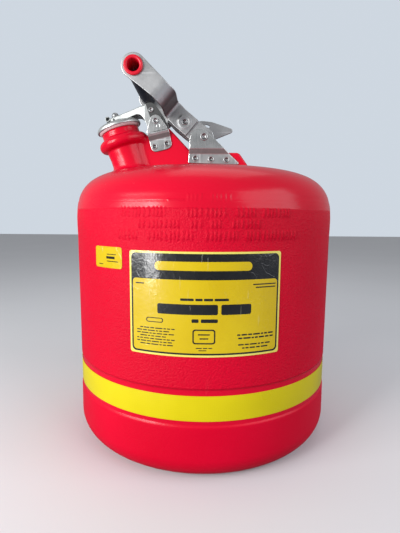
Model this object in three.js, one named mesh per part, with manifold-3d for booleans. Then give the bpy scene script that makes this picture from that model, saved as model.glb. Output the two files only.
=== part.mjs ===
// Five-gallon moulded-plastic safety gas can with stainless steel hardware.
//
// Frame: millimetres, +Z up, origin at the centre of the base on the floor. The neck leans
// towards -X. "Near" is the -Y side and "far" the +Y side. The can is mirror-symmetric about
// y = 0 apart from the far arm's tail, the labels, the rivets' dimples and the spring.
import * as THREE from 'three';
import { mergeVertices } from 'three/addons/utils/BufferGeometryUtils.js';
import Module from 'manifold-3d';

const wasm = await Module();
wasm.setup();

// ---------------------------------------------------------------- shared dimensions
const GAP = 0.3;                   // running clearance
const THROUGH = 80;                // half-length of cutters that pass right through
const OVERRUN = 5;                 // how far a bore's cutter runs past each end

const NECK_TILT = 17.8;            // degrees from vertical, towards -X
const NECK_ORIGIN = [-95.6, 336.5];  // (x, z) of s = 0

const REAR_PIVOT = [0, 352.3];     // (x, z)
const FRONT_PIVOT = [-58, 370.5];
const FRONT_TILT = 13.5;           // lean of the front bracket, degrees from vertical
const ARM_ANGLE = 139.5;           // direction of the handle arms, degrees from +X

const RIVET_HOLE_R = 2.8;          // both brackets and the web
const REAR_PIVOT_HOLE_R = 3.6;
const FRONT_PIVOT_HOLE_R = 2.7;

// ---------------------------------------------------------------- materials
const SHADE = {
  sheet: 0xb9bfc2, rivet: 0xa9aeb0, spacer: 0x9fa4a7, arrester: 0xa8adb0, screen: 0x8c9194,
  lever: 0xc6cccf, cap: 0xc8cdcf, spring: 0x8d9296,
};
const steel = (name, { color = SHADE.sheet, roughness = 0.35 } = {}) => (
  new THREE.MeshStandardMaterial({ name, color, roughness, metalness: 0.9 }));
const plastic = ({ name, color, roughness }) => (
  new THREE.MeshStandardMaterial({ name, color, roughness, metalness: 0 }));
const rivetSteel = (name) => steel(name, { color: SHADE.rivet });

const TANK_RED = plastic({ name: 'tank_red', color: 0xc8102e, roughness: 0.42 });
const BAND_YELLOW = plastic({ name: 'band_yellow', color: 0xf0e000, roughness: 0.35 });
const LABEL_YELLOW = plastic({ name: 'label_yellow', color: 0xe8d800, roughness: 0.4 });
const SEAL = plastic({ name: 'seal', color: 0xe8dcd8, roughness: 0.55 });
const GRIP_DARK = plastic({ name: 'grip_dark', color: 0x23262a, roughness: 0.35 });
const GRIP_RED = plastic({ name: 'grip_red', color: 0xd0182c, roughness: 0.4 });

// ---------------------------------------------------------------- meshes and solids
function toSolid(geometry) {
  for (const key of Object.keys(geometry.attributes)) {
    if (key !== 'position') geometry.deleteAttribute(key);
  }
  const merged = mergeVertices(geometry, 1e-4);
  const position = merged.attributes.position;
  const index = merged.index.array;
  const corner = (i) => new THREE.Vector3().fromBufferAttribute(position, i);
  const triangles = [];
  let volume = 0;
  for (let i = 0; i < index.length; i += 3) {
    const [a, b, c] = index.slice(i, i + 3);
    if (a === b || b === c || a === c) continue;
    triangles.push(a, b, c);
    volume += corner(a).dot(corner(b).cross(corner(c)));
  }
  // a profile drawn the other way round gives inward faces: turn them outwards
  if (volume < 0) {
    for (let i = 0; i < triangles.length; i += 3) {
      [triangles[i + 1], triangles[i + 2]] = [triangles[i + 2], triangles[i + 1]];
    }
  }
  return new wasm.Manifold(new wasm.Mesh({
    numProp: 3,
    vertProperties: Float32Array.from(position.array),
    triVerts: Uint32Array.from(triangles),
  }));
}

function toGeometry(solid) {
  const mesh = solid.getMesh();
  const geometry = new THREE.BufferGeometry();
  const positions = Float32Array.from(mesh.vertProperties);
  geometry.setAttribute('position', new THREE.BufferAttribute(positions, 3));
  geometry.setIndex(new THREE.BufferAttribute(Uint32Array.from(mesh.triVerts), 1));
  geometry.computeVertexNormals();
  return geometry;
}

const group = new THREE.Group();
function add(name, solid, material) {
  const mesh = new THREE.Mesh(toGeometry(solid), material);
  mesh.name = name;
  group.add(mesh);
}

const mirrorY = (solid) => solid.mirror([0, 1, 0]);
const subtractAll = (solid, cutters) => cutters.reduce((rest, cut) => rest.subtract(cut), solid);

// ---------------------------------------------------------------- outlines and frames
const radians = THREE.MathUtils.degToRad;
const closed = (points) => [...points, points[0]];

// points on a circle; angles in degrees
const arc = ([x, y], radius, start, step, count) => Array.from({ length: count }, (_, i) => {
  const angle = radians(start + i * step);
  return [x + radius * Math.cos(angle), y + radius * Math.sin(angle)];
});

// strip between an open line and its mitred offset; positive thickness is to the line's left
function ribbon(line, thickness) {
  const normal = (from, to) => {
    const [dx, dy] = [to[0] - from[0], to[1] - from[1]];
    const length = Math.hypot(dx, dy);
    return [-dy / length, dx / length];
  };
  const offset = line.map((point, i) => {
    const before = i > 0 ? normal(line[i - 1], point) : normal(point, line[1]);
    const after = i < line.length - 1 ? normal(point, line[i + 1]) : before;
    const mitre = 1 + before[0] * after[0] + before[1] * after[1];
    return point.map((value, k) => value + thickness * (before[k] + after[k]) / mitre);
  });
  return [...line, ...offset.reverse()];
}

// frame in the XZ plane, turned by an angle from +X towards +Z
function frameXZ(origin, degrees) {
  const cos = Math.cos(radians(degrees));
  const sin = Math.sin(radians(degrees));
  return {
    origin,
    across: [cos, 0, sin],
    up: [-sin, 0, cos],
    at: ([a, b]) => [origin[0] + a * cos - b * sin, origin[1] + a * sin + b * cos],
  };
}
// places a drawing's two axes in space, its origin at (x, z) on y = 0
function placement(axis1, axis2, [x, z]) {
  const first = new THREE.Vector3(...axis1);
  const second = new THREE.Vector3(...axis2);
  const third = new THREE.Vector3().crossVectors(first, second);
  return new THREE.Matrix4().makeBasis(first, second, third).setPosition(x, 0, z);
}

const WORLD = frameXZ([0, 0], 0);
const NECK = frameXZ(NECK_ORIGIN, NECK_TILT);     // (u across, s along)
const FRONT = frameXZ(FRONT_PIVOT, FRONT_TILT);   // (p across, q up)
const ARM = frameXZ(REAR_PIVOT, ARM_ANGLE);
const armAt = ([t, w]) => ARM.at([t, -w]);        // t along the arm, w across it
const NECK_PLACEMENT = placement(NECK.across, [0, 1, 0], NECK.origin);

// ---------------------------------------------------------------- basic solids
const toVectors = (points) => points.map(([x, y]) => new THREE.Vector2(x, y));

function extrude(points, from, to) {
  const shape = new THREE.Shape(toVectors(points));
  return new THREE.ExtrudeGeometry(shape, { depth: to - from, bevelEnabled: false })
    .translate(0, 0, from);
}
const slabZ = (points, z0, z1) => toSolid(extrude(points, z0, z1));   // (x, y) outline
const slabY = (points, y0, y1) => (                                   // (x, z) outline
  toSolid(extrude(points, -y1, -y0).rotateX(Math.PI / 2)));
const throughSlab = (points) => slabY(points, -THROUGH, THROUGH);

// turned solids: (radius, axial) profiles about Z, the neck's axis, or a line along Y
const lathe = (profile, segments) => new THREE.LatheGeometry(toVectors(profile), segments);
const latheZ = (profile, segments) => lathe(profile, segments).rotateX(Math.PI / 2);
const turnedZ = (profile, segments) => toSolid(latheZ(profile, segments));
const turnedNeck = (profile, segments) => (
  toSolid(latheZ(profile, segments).applyMatrix4(NECK_PLACEMENT)));
const turnedY = (profile, [x, z], segments) => toSolid(lathe(profile, segments).translate(x, 0, z));

const neckDisc = (radius, s0, s1, segments) => (
  turnedNeck([[0, s0], [radius, s0], [radius, s1], [0, s1]], segments));
const neckTube = (outerR, innerR, s0, s1, segments) => neckDisc(outerR, s0, s1, segments)
  .subtract(neckDisc(innerR, s0 - OVERRUN, s1 + OVERRUN, segments));

const rodY = ([x, z], radius, halfLength, segments) => toSolid(
  new THREE.CylinderGeometry(radius, radius, 2 * halfLength, segments).translate(x, 0, z));
const holeY = (centre, radius, segments) => rodY(centre, radius, THROUGH, segments);
const tubeY = (centre, outerR, innerR, halfLength, segments) => (
  rodY(centre, outerR, halfLength, segments)
    .subtract(rodY(centre, innerR, halfLength + OVERRUN, segments)));

// sheet bent along a line, then cut to its (x, z) outline
const foldedSheet = (line, thickness, outline, place) => (
  toSolid(extrude(ribbon(line, thickness), -THROUGH, THROUGH).applyMatrix4(place))
    .intersect(throughSlab(outline)));

// rivet along Y: shank, far head, and near head with a dimple [radius, depth]
const NEAR_HEAD_TAPER = 0.4;
const FAR_HEAD_TAPER = 0.9;
function rivet({ centre, shankR, headR, seatY, headHeight, dimple, segments = 12 }) {
  const y1 = seatY + GAP;
  const y2 = y1 + headHeight;
  const [dimpleR, dimpleDepth] = dimple;
  return turnedY([
    [0, -(y2 - dimpleDepth)], [dimpleR, -(y2 - dimpleDepth)], [dimpleR, -y2],
    [headR - NEAR_HEAD_TAPER, -y2], [headR, -y1], [shankR, -y1],
    [shankR, y1], [headR, y1], [headR - FAR_HEAD_TAPER, y2], [0, y2],
  ], centre, segments);
}

// ---------------------------------------------------------------- bracket outlines
const BRACKET_LOW_Y = 10.0;        // inner faces, below and above the jog
const BRACKET_EAR_Y = 13.6;
const REAR_T = 1.5;
const REAR_JOG_Z = [332.6, 339.3];
const REAR_OUTLINE = [             // (x, z)
  [-19.1, 321.9], [-18.3, 333], [-17.5, 340], [-17.3, 349.5], [-16.6, 353.2],
  [-14.5, 357.2], [-10.5, 360.2], [-5.5, 361.4], [-1, 360.9], [2.5, 359.4], [5.4, 357.0],
  [9.2, 353.2], [44.6, 320.1],
];
const REAR_RIVETS = [[-10.5, 327.6], [8.6, 326.6], [27.3, 326.0]];   // (x, z)
const FRONT_T = 1.2;
const FRONT_JOG_Q = [-20.5, -15.2];
const FRONT_OUTLINE = [            // (p, q)
  [-13.3, -28.5], [-12.3, -31.8], [-10.2, -33.9], [-7.6, -34.6], [5.4, -34.6], [9.0, -33.8],
  [11.4, -31.6], [12.5, -28.5], [12.8, -16], [11.6, -9.8], [6.6, 3.1], [4.6, 5.6],
  [1.6, 7.1], [-1.6, 7.1], [-4.6, 5.6], [-6.7, 3.0], [-13.3, -9.0], [-13.2, -16],
].map(FRONT.at);
const FRONT_RIVETS = [[-8.6, -28.1], [6.6, -28.1]].map(FRONT.at);

const rivetHoles = (centres) => centres.map((centre) => holeY(centre, RIVET_HOLE_R, 16));

// ---------------------------------------------------------------- tank
const WALL = 4.0;
const BASE_R = 152.3;
const BASE_FLAT_R = 124.4;
const BASE_FILLET_H = 27;
const FOOT_INNER_R = 98;
const FOOT_RECESS = 6;
const INNER_WALL = [146.6, 92];    // (r, z) where the inner wall meets the dome's lining
const BAND_Z0 = 65.6;
const BAND_Z1 = 90.7;
const BAND_R = 151.6;              // flush with the wall just above it
const BAND_T = 0.4;
const GROOVE_R = 150.6;
const GROOVE_MARGIN = 0.6;         // groove floor beyond each edge of the band
const GROOVE_BEVEL = 0.4;          // height of the groove's sloping sides
const DOME_TOP = 312.1;
const DOME = [                     // (r, z), going up
  [151.95, 236], [152.4, 252.9], [152.2, 264.8], [149.2, 277.7], [145.3, 286.1],
  [139.8, 293.1], [132.4, 299.0], [122.9, 303.8], [110.7, 307.5], [94.5, 310.2],
  [70.6, 311.7], [40, 312.0],
];
const NECK_R = 21.9;
const NECK_R_TOP = 22.6;
const NECK_TOP_S = 25.2;
const NECK_BORE_R = 18.4;
const NECK_SEAT_R = 20.9;
const NECK_SEAT_S = NECK_TOP_S - 1.8;
const BEAD_CENTRE = [23.5, 10.3];  // (u, s)
const BEAD_R = 6.5;
const MOUND_X = -92.5;
const MOUND = [                    // (r, z)
  [0, 290], [46, 290], [44, 296], [36, 303], [29, 308.2], [25, 312], [22.8, 317], [0, 317],
];
const WEB_HALF = 9.7;
const WEB = [                      // (x, z)
  [-92, 297], [-90, 340], [-76, 350.5], [-70, 353], [-63, 357], [-52, 361.5], [-44, 363.5],
  [-41, 362], [-18.4, 338.4], [-15, 335.8], [-11, 335], [40.5, 335], [43.6, 333.6],
  [53, 320.8], [58, 312], [60, 297],
];

// quarter ellipse from the flat of the base out to the wall
const baseFillet = ({ radius, z, width, height, steps }) => (
  Array.from({ length: steps + 1 }, (_, i) => {
    const angle = (i / steps) * Math.PI / 2;
    return [radius + width * Math.sin(angle), z + height - height * Math.cos(angle)];
  }));

function tankOutside() {
  const width = BASE_R - BASE_FLAT_R;
  const grooveZ0 = BAND_Z0 - GROOVE_MARGIN;
  const grooveZ1 = BAND_Z1 + GROOVE_MARGIN;
  return turnedZ([
    [0, FOOT_RECESS], [FOOT_INNER_R - 12, FOOT_RECESS], [FOOT_INNER_R, 0],
    ...baseFillet({ radius: BASE_FLAT_R, z: 0, width, height: BASE_FILLET_H, steps: 6 }),
    [BASE_R, grooveZ0 - GROOVE_BEVEL], [GROOVE_R, grooveZ0],
    [GROOVE_R, grooveZ1], [BAND_R, grooveZ1 + GROOVE_BEVEL],
    ...DOME, [0, DOME_TOP],
  ], 48);
}

function tankCavity() {
  const domeLining = DOME.map(([r, z], i) => {
    const below = DOME[Math.max(i - 1, 0)];
    const above = DOME[Math.min(i + 1, DOME.length - 1)];
    const [dr, dz] = [above[0] - below[0], above[1] - below[1]];
    const length = Math.hypot(dr, dz);
    return [r - WALL * dz / length, z + WALL * dr / length];
  });
  const fillet = baseFillet({
    radius: BASE_FLAT_R - 1,
    z: WALL,
    width: BASE_R - BASE_FLAT_R - 5,
    height: BASE_FILLET_H - 3,
    steps: 4,
  });
  return turnedZ([
    [0, FOOT_RECESS + WALL], [FOOT_INNER_R - 11, FOOT_RECESS + WALL], [FOOT_INNER_R, WALL],
    ...fillet, INNER_WALL, ...domeLining, [0, DOME_TOP - WALL],
  ], 40);
}

function canBody() {
  const neck = turnedNeck([
    [0, -44], [NECK_R, -44], [NECK_R, -8], [NECK_R + 0.8, 2.6],
    ...arc(BEAD_CENTRE, BEAD_R, -78, 22.3, 8),
    [NECK_R_TOP, 18.6], [NECK_R_TOP, NECK_TOP_S], [0, NECK_TOP_S],
  ], 32);
  const neckBore = turnedNeck([
    [0, -62], [NECK_BORE_R, -62], [NECK_BORE_R, NECK_SEAT_S],
    [NECK_SEAT_R, NECK_SEAT_S], [NECK_SEAT_R, 40], [0, 40],
  ], 28);
  const outside = tankOutside()
    .add(neck)
    .add(turnedZ(MOUND, 28).translate([MOUND_X, 0, 0]))
    .add(slabY(WEB, -WEB_HALF, WEB_HALF));
  const holes = rivetHoles([...REAR_RIVETS, ...FRONT_RIVETS]);
  return subtractAll(outside, [tankCavity(), neckBore, ...holes]);
}
add('can_body', canBody(), TANK_RED);

// tape band in its shallow groove
add('reflective_band', turnedZ(closed([
  [BAND_R - BAND_T, BAND_Z0], [BAND_R, BAND_Z0], [BAND_R, BAND_Z1], [BAND_R - BAND_T, BAND_Z1],
]), 48), BAND_YELLOW);

// ---------------------------------------------------------------- labels
const LABEL_R = 152.08;            // inner face, just off the wall
const LABEL_T = 0.3;

// thin curved sheet; angles in degrees from -Y towards +X
function label({ from, to, z0, z1, steps }) {
  const face = (radius) => arc([0, 0], radius, from - 90, (to - from) / steps, steps + 1);
  return slabZ([...face(LABEL_R + LABEL_T), ...face(LABEL_R).reverse()], z0, z1);
}
add('front_label', label({ from: -26.8, to: 28.5, z0: 128.9, z1: 226.2, steps: 16 }),
  LABEL_YELLOW);
add('side_label', label({ from: -44.9, to: -30.3, z0: 207.2, z1: 228.0, steps: 4 }),
  LABEL_YELLOW);

// ---------------------------------------------------------------- flame arrester
// flange in the neck mouth, plain tube below it, disc at the tube's lower end
const SCREEN_R = 16.6;
add('arrester_flange', neckTube(20.6, 15.6, 23.7, 24.9, 36),
  steel('arrester_steel', { color: SHADE.arrester }));
add('arrester_screen', neckTube(SCREEN_R, 15.8, -92, 23.4, 36),
  steel('screen_steel', { color: SHADE.screen, roughness: 0.5 }));
add('arrester_end_disc', neckDisc(SCREEN_R, -93.8, -92.3, 36),
  steel('disc_steel', { color: SHADE.arrester }));

// ---------------------------------------------------------------- brackets
// near sheet with its mirrored twin; heights run along the frame's up axis
function addBracketPair({ name, material, frame, outline, thickness, heights, holes }) {
  const [bottom, jogStart, jogEnd, top] = heights;
  const innerFace = [
    [BRACKET_LOW_Y, bottom], [BRACKET_LOW_Y, jogStart],
    [BRACKET_EAR_Y, jogEnd], [BRACKET_EAR_Y, top],
  ];
  const place = placement([0, -1, 0], frame.up, frame.origin);
  const near = subtractAll(foldedSheet(innerFace, -thickness, outline, place), holes);
  add(`${name}_near`, near, steel(material));
  add(`${name}_far`, mirrorY(near), steel(`${material}_far`));
}
addBracketPair({
  name: 'rear_bracket',
  material: 'bracket_steel',
  frame: WORLD,
  outline: REAR_OUTLINE,
  thickness: REAR_T,
  heights: [300, ...REAR_JOG_Z, 380],
  holes: [...rivetHoles(REAR_RIVETS), holeY(REAR_PIVOT, REAR_PIVOT_HOLE_R, 20)],
});
addBracketPair({
  name: 'front_bracket',
  material: 'front_bracket_steel',
  frame: FRONT,
  outline: FRONT_OUTLINE,
  thickness: FRONT_T,
  heights: [-50, ...FRONT_JOG_Q, 20],
  holes: [...rivetHoles(FRONT_RIVETS), holeY(FRONT_PIVOT, FRONT_PIVOT_HOLE_R, 18)],
});

REAR_RIVETS.forEach((centre, i) => add(`rear_rivet_${i + 1}`, rivet({
  centre, shankR: 2.45, headR: 3.9, seatY: BRACKET_LOW_Y + REAR_T, headHeight: 1.3,
  dimple: [1.7, 1.6],
}), rivetSteel('rivet_steel')));
FRONT_RIVETS.forEach((centre, i) => add(`front_rivet_${i + 1}`, rivet({
  centre, shankR: 2.45, headR: 3.7, seatY: BRACKET_LOW_Y + FRONT_T, headHeight: 1.2,
  dimple: [1.5, 1.5],
}), rivetSteel('front_rivet_steel')));
add('rear_pivot_pin', rivet({
  centre: REAR_PIVOT, shankR: 3.2, headR: 5.0, seatY: BRACKET_EAR_Y + REAR_T, headHeight: 1.6,
  dimple: [2.6, 2.4], segments: 20,
}), rivetSteel('pin_steel'));
add('front_pivot_pin', rivet({
  centre: FRONT_PIVOT, shankR: 2.4, headR: 3.6, seatY: BRACKET_EAR_Y + FRONT_T, headHeight: 1.3,
  dimple: [1.6, 1.7], segments: 18,
}), rivetSteel('front_pin_steel'));
add('rear_pivot_spacer', tubeY(REAR_PIVOT, 5.2, REAR_PIVOT_HOLE_R, 10.8, 20),
  steel('spacer_steel', { color: SHADE.spacer }));

// ---------------------------------------------------------------- handle arms
const ARM_T = 2.0;
const ARM_HUB_Y = 11.2;            // inner faces: at the hub, past the jog, at the grip
const ARM_LOW_Y = 13.7;
const ARM_TOP_Y = 57.4;
const ARM_JOG = 21.0;              // t of the small outward step
const ARM_CRANK = 51.8;            // t where the arms turn outwards, square to their length
const GRIP_T = 99.5;               // t of the grip's centre
const GRIP = armAt([GRIP_T, -0.5]);
const GRIP_R = 8.4;
const CROSS_RIVET = [-23.1, 369.0];  // (x, z)
const CROSS_HOLE_R = 2.7;
const ARM_OUTLINE = [              // (t, w), rounded at the hub and at the grip
  ...arc([0, -0.6], 12, 100, 13.5, 13),
  [12.6, -13.6], [35, -14.2], [51.8, -12.4], [64.2, -11.4], [80, -12.2],
  ...arc([GRIP_T, -0.3], 13.5, -88, 14.6, 13),
  [80, 11.6], [62.4, 10.3], [51.3, 10.6], [36.2, 9.2], [19.3, 9.6],
].map(armAt);
const ARM_INNER_FACE = [           // (t, distance from y = 0)
  [-30, ARM_HUB_Y], [ARM_JOG - 1.2, ARM_HUB_Y], [ARM_JOG + 1.6, ARM_LOW_Y],
  [ARM_CRANK - 5.0, ARM_LOW_Y], [ARM_CRANK - 2.0, ARM_LOW_Y + 1.1],
  [ARM_CRANK - 0.4, ARM_LOW_Y + 3.2], [ARM_CRANK, ARM_LOW_Y + 6.0],
  [ARM_CRANK, ARM_TOP_Y - 12], [ARM_CRANK + 0.6, ARM_TOP_Y - 8],
  [ARM_CRANK + 2.4, ARM_TOP_Y - 4.8], [ARM_CRANK + 5.8, ARM_TOP_Y - 2.2],
  [ARM_CRANK + 11, ARM_TOP_Y - 0.4], [ARM_CRANK + 15, ARM_TOP_Y], [130, ARM_TOP_Y],
];
const TAIL = [                     // (x, z)
  [-13.5, 374.8], [-2.9, 376.7], [9.4, 375.4], [21.9, 371.4], [34.8, 367.1], [36.2, 364.6],
  [34.4, 362.2], [19.9, 356.4], [9, 352], [-2, 350], [-12, 356],
];
const TAIL_SLOT = [[1.4, 369.6], [6.4, 367.9], [6.9, 370.6], [2.2, 372.2]];

const armBlank = foldedSheet(ARM_INNER_FACE, ARM_T, ARM_OUTLINE,
  placement(ARM.across, [0, -1, 0], ARM.origin));
const armTail = slabY(TAIL, ARM_HUB_Y, ARM_HUB_Y + ARM_T).subtract(throughSlab(TAIL_SLOT));
const drillArm = (blank) => subtractAll(blank, [
  holeY(GRIP, GRIP_R + GAP, 24),
  holeY(REAR_PIVOT, REAR_PIVOT_HOLE_R, 20),
  holeY(CROSS_RIVET, CROSS_HOLE_R, 16),
]);
add('handle_arm_near', drillArm(armBlank), steel('arm_steel'));
add('handle_arm_far', drillArm(mirrorY(armBlank).add(armTail)), steel('arm_steel_far'));

add('arm_cross_rivet', rivet({
  centre: CROSS_RIVET, shankR: 2.4, headR: 4.0, seatY: ARM_LOW_Y + ARM_T, headHeight: 1.2,
  dimple: [1.5, 1.5],
}), rivetSteel('cross_rivet_steel'));
add('arm_cross_spacer', tubeY(CROSS_RIVET, 4.4, CROSS_HOLE_R, ARM_LOW_Y - GAP, 18),
  steel('cross_spacer_steel', { color: SHADE.spacer }));

// ---------------------------------------------------------------- grip
const GRIP_BORE_R = 6.5;
const SLEEVE_R = 9.6;
const LIP_R = 10.5;
const LIP_CHAMFER = 0.8;
const LIP_IN = ARM_TOP_Y + ARM_T + GAP;
const LIP_OUT = LIP_IN + 2.6;

// core tube with a lip outside each arm
const coreHalf = [                 // (r, y) on the +Y side, going outwards
  [GRIP_R, LIP_IN], [LIP_R, LIP_IN], [LIP_R, LIP_OUT - LIP_CHAMFER],
  [LIP_R - LIP_CHAMFER, LIP_OUT], [GRIP_BORE_R, LIP_OUT],
];
const coreNearHalf = coreHalf.map(([r, y]) => [r, -y]).reverse();
add('grip_core_tube', turnedY(closed([...coreNearHalf, ...coreHalf]), GRIP, 28), GRIP_RED);
// loose sleeve between the arms
add('grip_sleeve', tubeY(GRIP, SLEEVE_R, GRIP_R + GAP, ARM_TOP_Y - 0.5, 28), GRIP_DARK);

// ---------------------------------------------------------------- closing lever
const LEVER_T = 1.1;
const LEVER_Y = 12.1;              // inner face of the flanges at the pivot
const LEVER_TIP_Y = 6.6;           // and near the tip
const LEVER_OUTER_Y = LEVER_Y + LEVER_T;
const LEVER_TIP_OUTER_Y = LEVER_TIP_Y + LEVER_T;
const LEVER_Z = [300, 500];        // height range that clears the lever
const LEVER_PIN = [-63.4, 383.4];  // (x, z)
const CAP_BORE_R = 2.7;            // lever, cap and retainer, round the cap rivet
const LEVER_OUTLINE = [            // (x, z)
  [-113.4, 370.9], [-103, 371.6], [-96.2, 373.4], [-88, 376.0], [-82, 378.3], [-79, 378.5],
  [-76, 377.4], [-73, 374.6], [-69.8, 368.3], [-67.9, 363.2], [-65.5, 360.8], [-60, 359.8],
  [-50, 360.6], [-44.6, 362.6], [-42.9, 365.6], [-49.3, 376.4], [-56.4, 386.6],
  [-59, 389.8], [-62.3, 391.6], [-66, 392.0], [-70.9, 390.4], [-74.5, 388.2],
  [-91.8, 382.0], [-106.9, 376.9], [-113.2, 374.8],
];
const FLANGE_INNER_FACE = [        // (x, distance from y = 0)
  [-118, LEVER_TIP_Y - 0.2], [-100, LEVER_TIP_Y + 0.6], [-71, LEVER_Y], [-30, LEVER_Y],
];
const PLATE_EDGE = [               // (x, distance from y = 0)
  [-130, LEVER_TIP_OUTER_Y - 0.5], [-112, LEVER_TIP_OUTER_Y - 0.2],
  [-100, LEVER_TIP_OUTER_Y + 0.6], [-71, LEVER_OUTER_Y], [-60, LEVER_OUTER_Y],
];
const PLATE_LINE = [               // (u, s), starting with the rolled eye at the tip
  ...arc([-9.3, 41.9], 3.2, 45, 30.5, 11),
  [-4.4, 41.0], [14.5, 41.3], [24.5, 41.6], [34, 41.9], [38.5, 41.4],
];

function capLever() {
  const nearSide = (points) => points.map(([x, y]) => [x, -y]);
  const flange = slabZ(nearSide(ribbon(FLANGE_INNER_FACE, LEVER_T)), ...LEVER_Z)
    .intersect(throughSlab(LEVER_OUTLINE));
  const plan = slabZ([...nearSide(PLATE_EDGE), ...PLATE_EDGE.slice().reverse()], ...LEVER_Z);
  const plate = throughSlab(ribbon(PLATE_LINE, LEVER_T).map(NECK.at)).intersect(plan);
  return subtractAll(flange.add(mirrorY(flange)).add(plate), [
    holeY(FRONT_PIVOT, FRONT_PIVOT_HOLE_R, 18),
    holeY(LEVER_PIN, 2.1, 14),
    neckDisc(CAP_BORE_R, 30, 60, 16),
    holeY(NECK.at([-1.7, 38.8]), 1.1, 10),   // small cross hole below the top plate
  ]);
}
add('cap_lever', capLever(), steel('lever_steel', { color: SHADE.lever, roughness: 0.3 }));
add('lever_cross_pin', rivet({
  centre: LEVER_PIN, shankR: 1.8, headR: 2.9, seatY: LEVER_OUTER_Y - 0.1, headHeight: 0.9,
  dimple: [1.0, 0.8],
}), rivetSteel('lever_pin_steel'));

// ---------------------------------------------------------------- cap
// profiles are (r, s) in the neck's frame
const CAP_RIVET = [                // domed head above the lever, shoulder below it
  [0, 30.4], [2.6, 30.4], [3.8, 31.0], [3.8, 32.1], [2.4, 32.1], [2.4, 35.4], [4.6, 35.4],
  [4.6, 40.6], [2.4, 40.6], [2.4, 42.5], [4.8, 42.5], [4.8, 43.5], [4.2, 44.0],
  [4.0, 46.0], [3.0, 47.6], [1.4, 48.4], [0, 48.6],
];
const CAP_DISC = [
  [CAP_BORE_R, 33.8], [13.6, 33.8], [20, 33.2], [23, 32.2], [24.9, 31.0], [25.7, 29.6],
  [25.9, 28.0], [26.3, 27.7], [26.9, 27.9], [27.1, 28.5], [26.9, 30.2], [26.0, 31.9],
  [24.2, 33.3], [21, 34.3], [14.4, 35.0], [CAP_BORE_R, 35.0],
];
const CAP_SEAL = [
  [19.3, 25.5], [23.0, 25.5], [25.2, 27.4], [25.3, 29.4], [24.0, 31.2], [21, 32.5],
  [19.3, 32.7],
];
const SEAL_RETAINER = [
  [CAP_BORE_R, 33.4], [13.4, 33.4], [18.9, 32.7], [18.9, 31.8], [13.0, 32.5],
  [CAP_BORE_R, 32.5],
];
add('cap_rivet', turnedNeck(CAP_RIVET, 18), steel('cap_rivet_steel'));
add('cap_disc', turnedNeck(closed(CAP_DISC), 36),
  steel('cap_steel', { color: SHADE.cap, roughness: 0.3 }));
add('cap_seal', turnedNeck(closed(CAP_SEAL), 32), SEAL);
add('seal_retainer', turnedNeck(closed(SEAL_RETAINER), 24),
  steel('retainer_steel', { color: SHADE.arrester }));

// ---------------------------------------------------------------- torsion spring
const SPRING_R = 4.6;
const SPRING_WIRE_R = 0.75;
const SPRING_HALF_WIDTH = 6.5;
const SPRING_START = radians(51.9);
const SPRING_END = radians(29.9 + 5 * 360);
const COIL_STEPS = 60;
const WEB_LEG = 14.0;              // leg resting on the web's shoulder
const PIN_LEG = 16.5;              // leg bearing on the lever's cross pin

// coil round the front pivot with a straight tangent leg at each end
function springPoints() {
  const point = (angle, y, tangent = 0) => new THREE.Vector3(
    FRONT_PIVOT[0] + SPRING_R * Math.cos(angle) - tangent * Math.sin(angle),
    y,
    FRONT_PIVOT[1] + SPRING_R * Math.sin(angle) + tangent * Math.cos(angle),
  );
  const coil = Array.from({ length: COIL_STEPS + 1 }, (_, i) => point(
    SPRING_START + (SPRING_END - SPRING_START) * (i / COIL_STEPS),
    -SPRING_HALF_WIDTH + 2 * SPRING_HALF_WIDTH * i / COIL_STEPS,
  ));
  return [
    point(SPRING_START, -SPRING_HALF_WIDTH, -WEB_LEG),
    ...coil,
    point(SPRING_END, SPRING_HALF_WIDTH, PIN_LEG),
  ];
}

// straight runs between points, parametrised by length
class PolylineCurve extends THREE.Curve {
  constructor(points) {
    super();
    this.points = points;
    this.lengths = [0];
    for (let i = 1; i < points.length; i++) {
      this.lengths.push(this.lengths[i - 1] + points[i].distanceTo(points[i - 1]));
    }
  }

  getPoint(t, target = new THREE.Vector3()) {
    const { points, lengths } = this;
    const last = lengths.length - 1;
    const distance = lengths[last] * t;
    let i = 1;
    while (i < last && lengths[i] < distance) i++;
    const share = (distance - lengths[i - 1]) / (lengths[i] - lengths[i - 1]);
    return target.copy(points[i - 1]).lerp(points[i], share);
  }
}

const wireSection = new THREE.Shape(toVectors(arc([0, 0], SPRING_WIRE_R, 0, 72, 5)));
add('cap_spring', toSolid(new THREE.ExtrudeGeometry(wireSection, {
  steps: 84,
  bevelEnabled: false,
  extrudePath: new PolylineCurve(springPoints()),
})), steel('spring_steel', { color: SHADE.spring }));

export default group;
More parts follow.
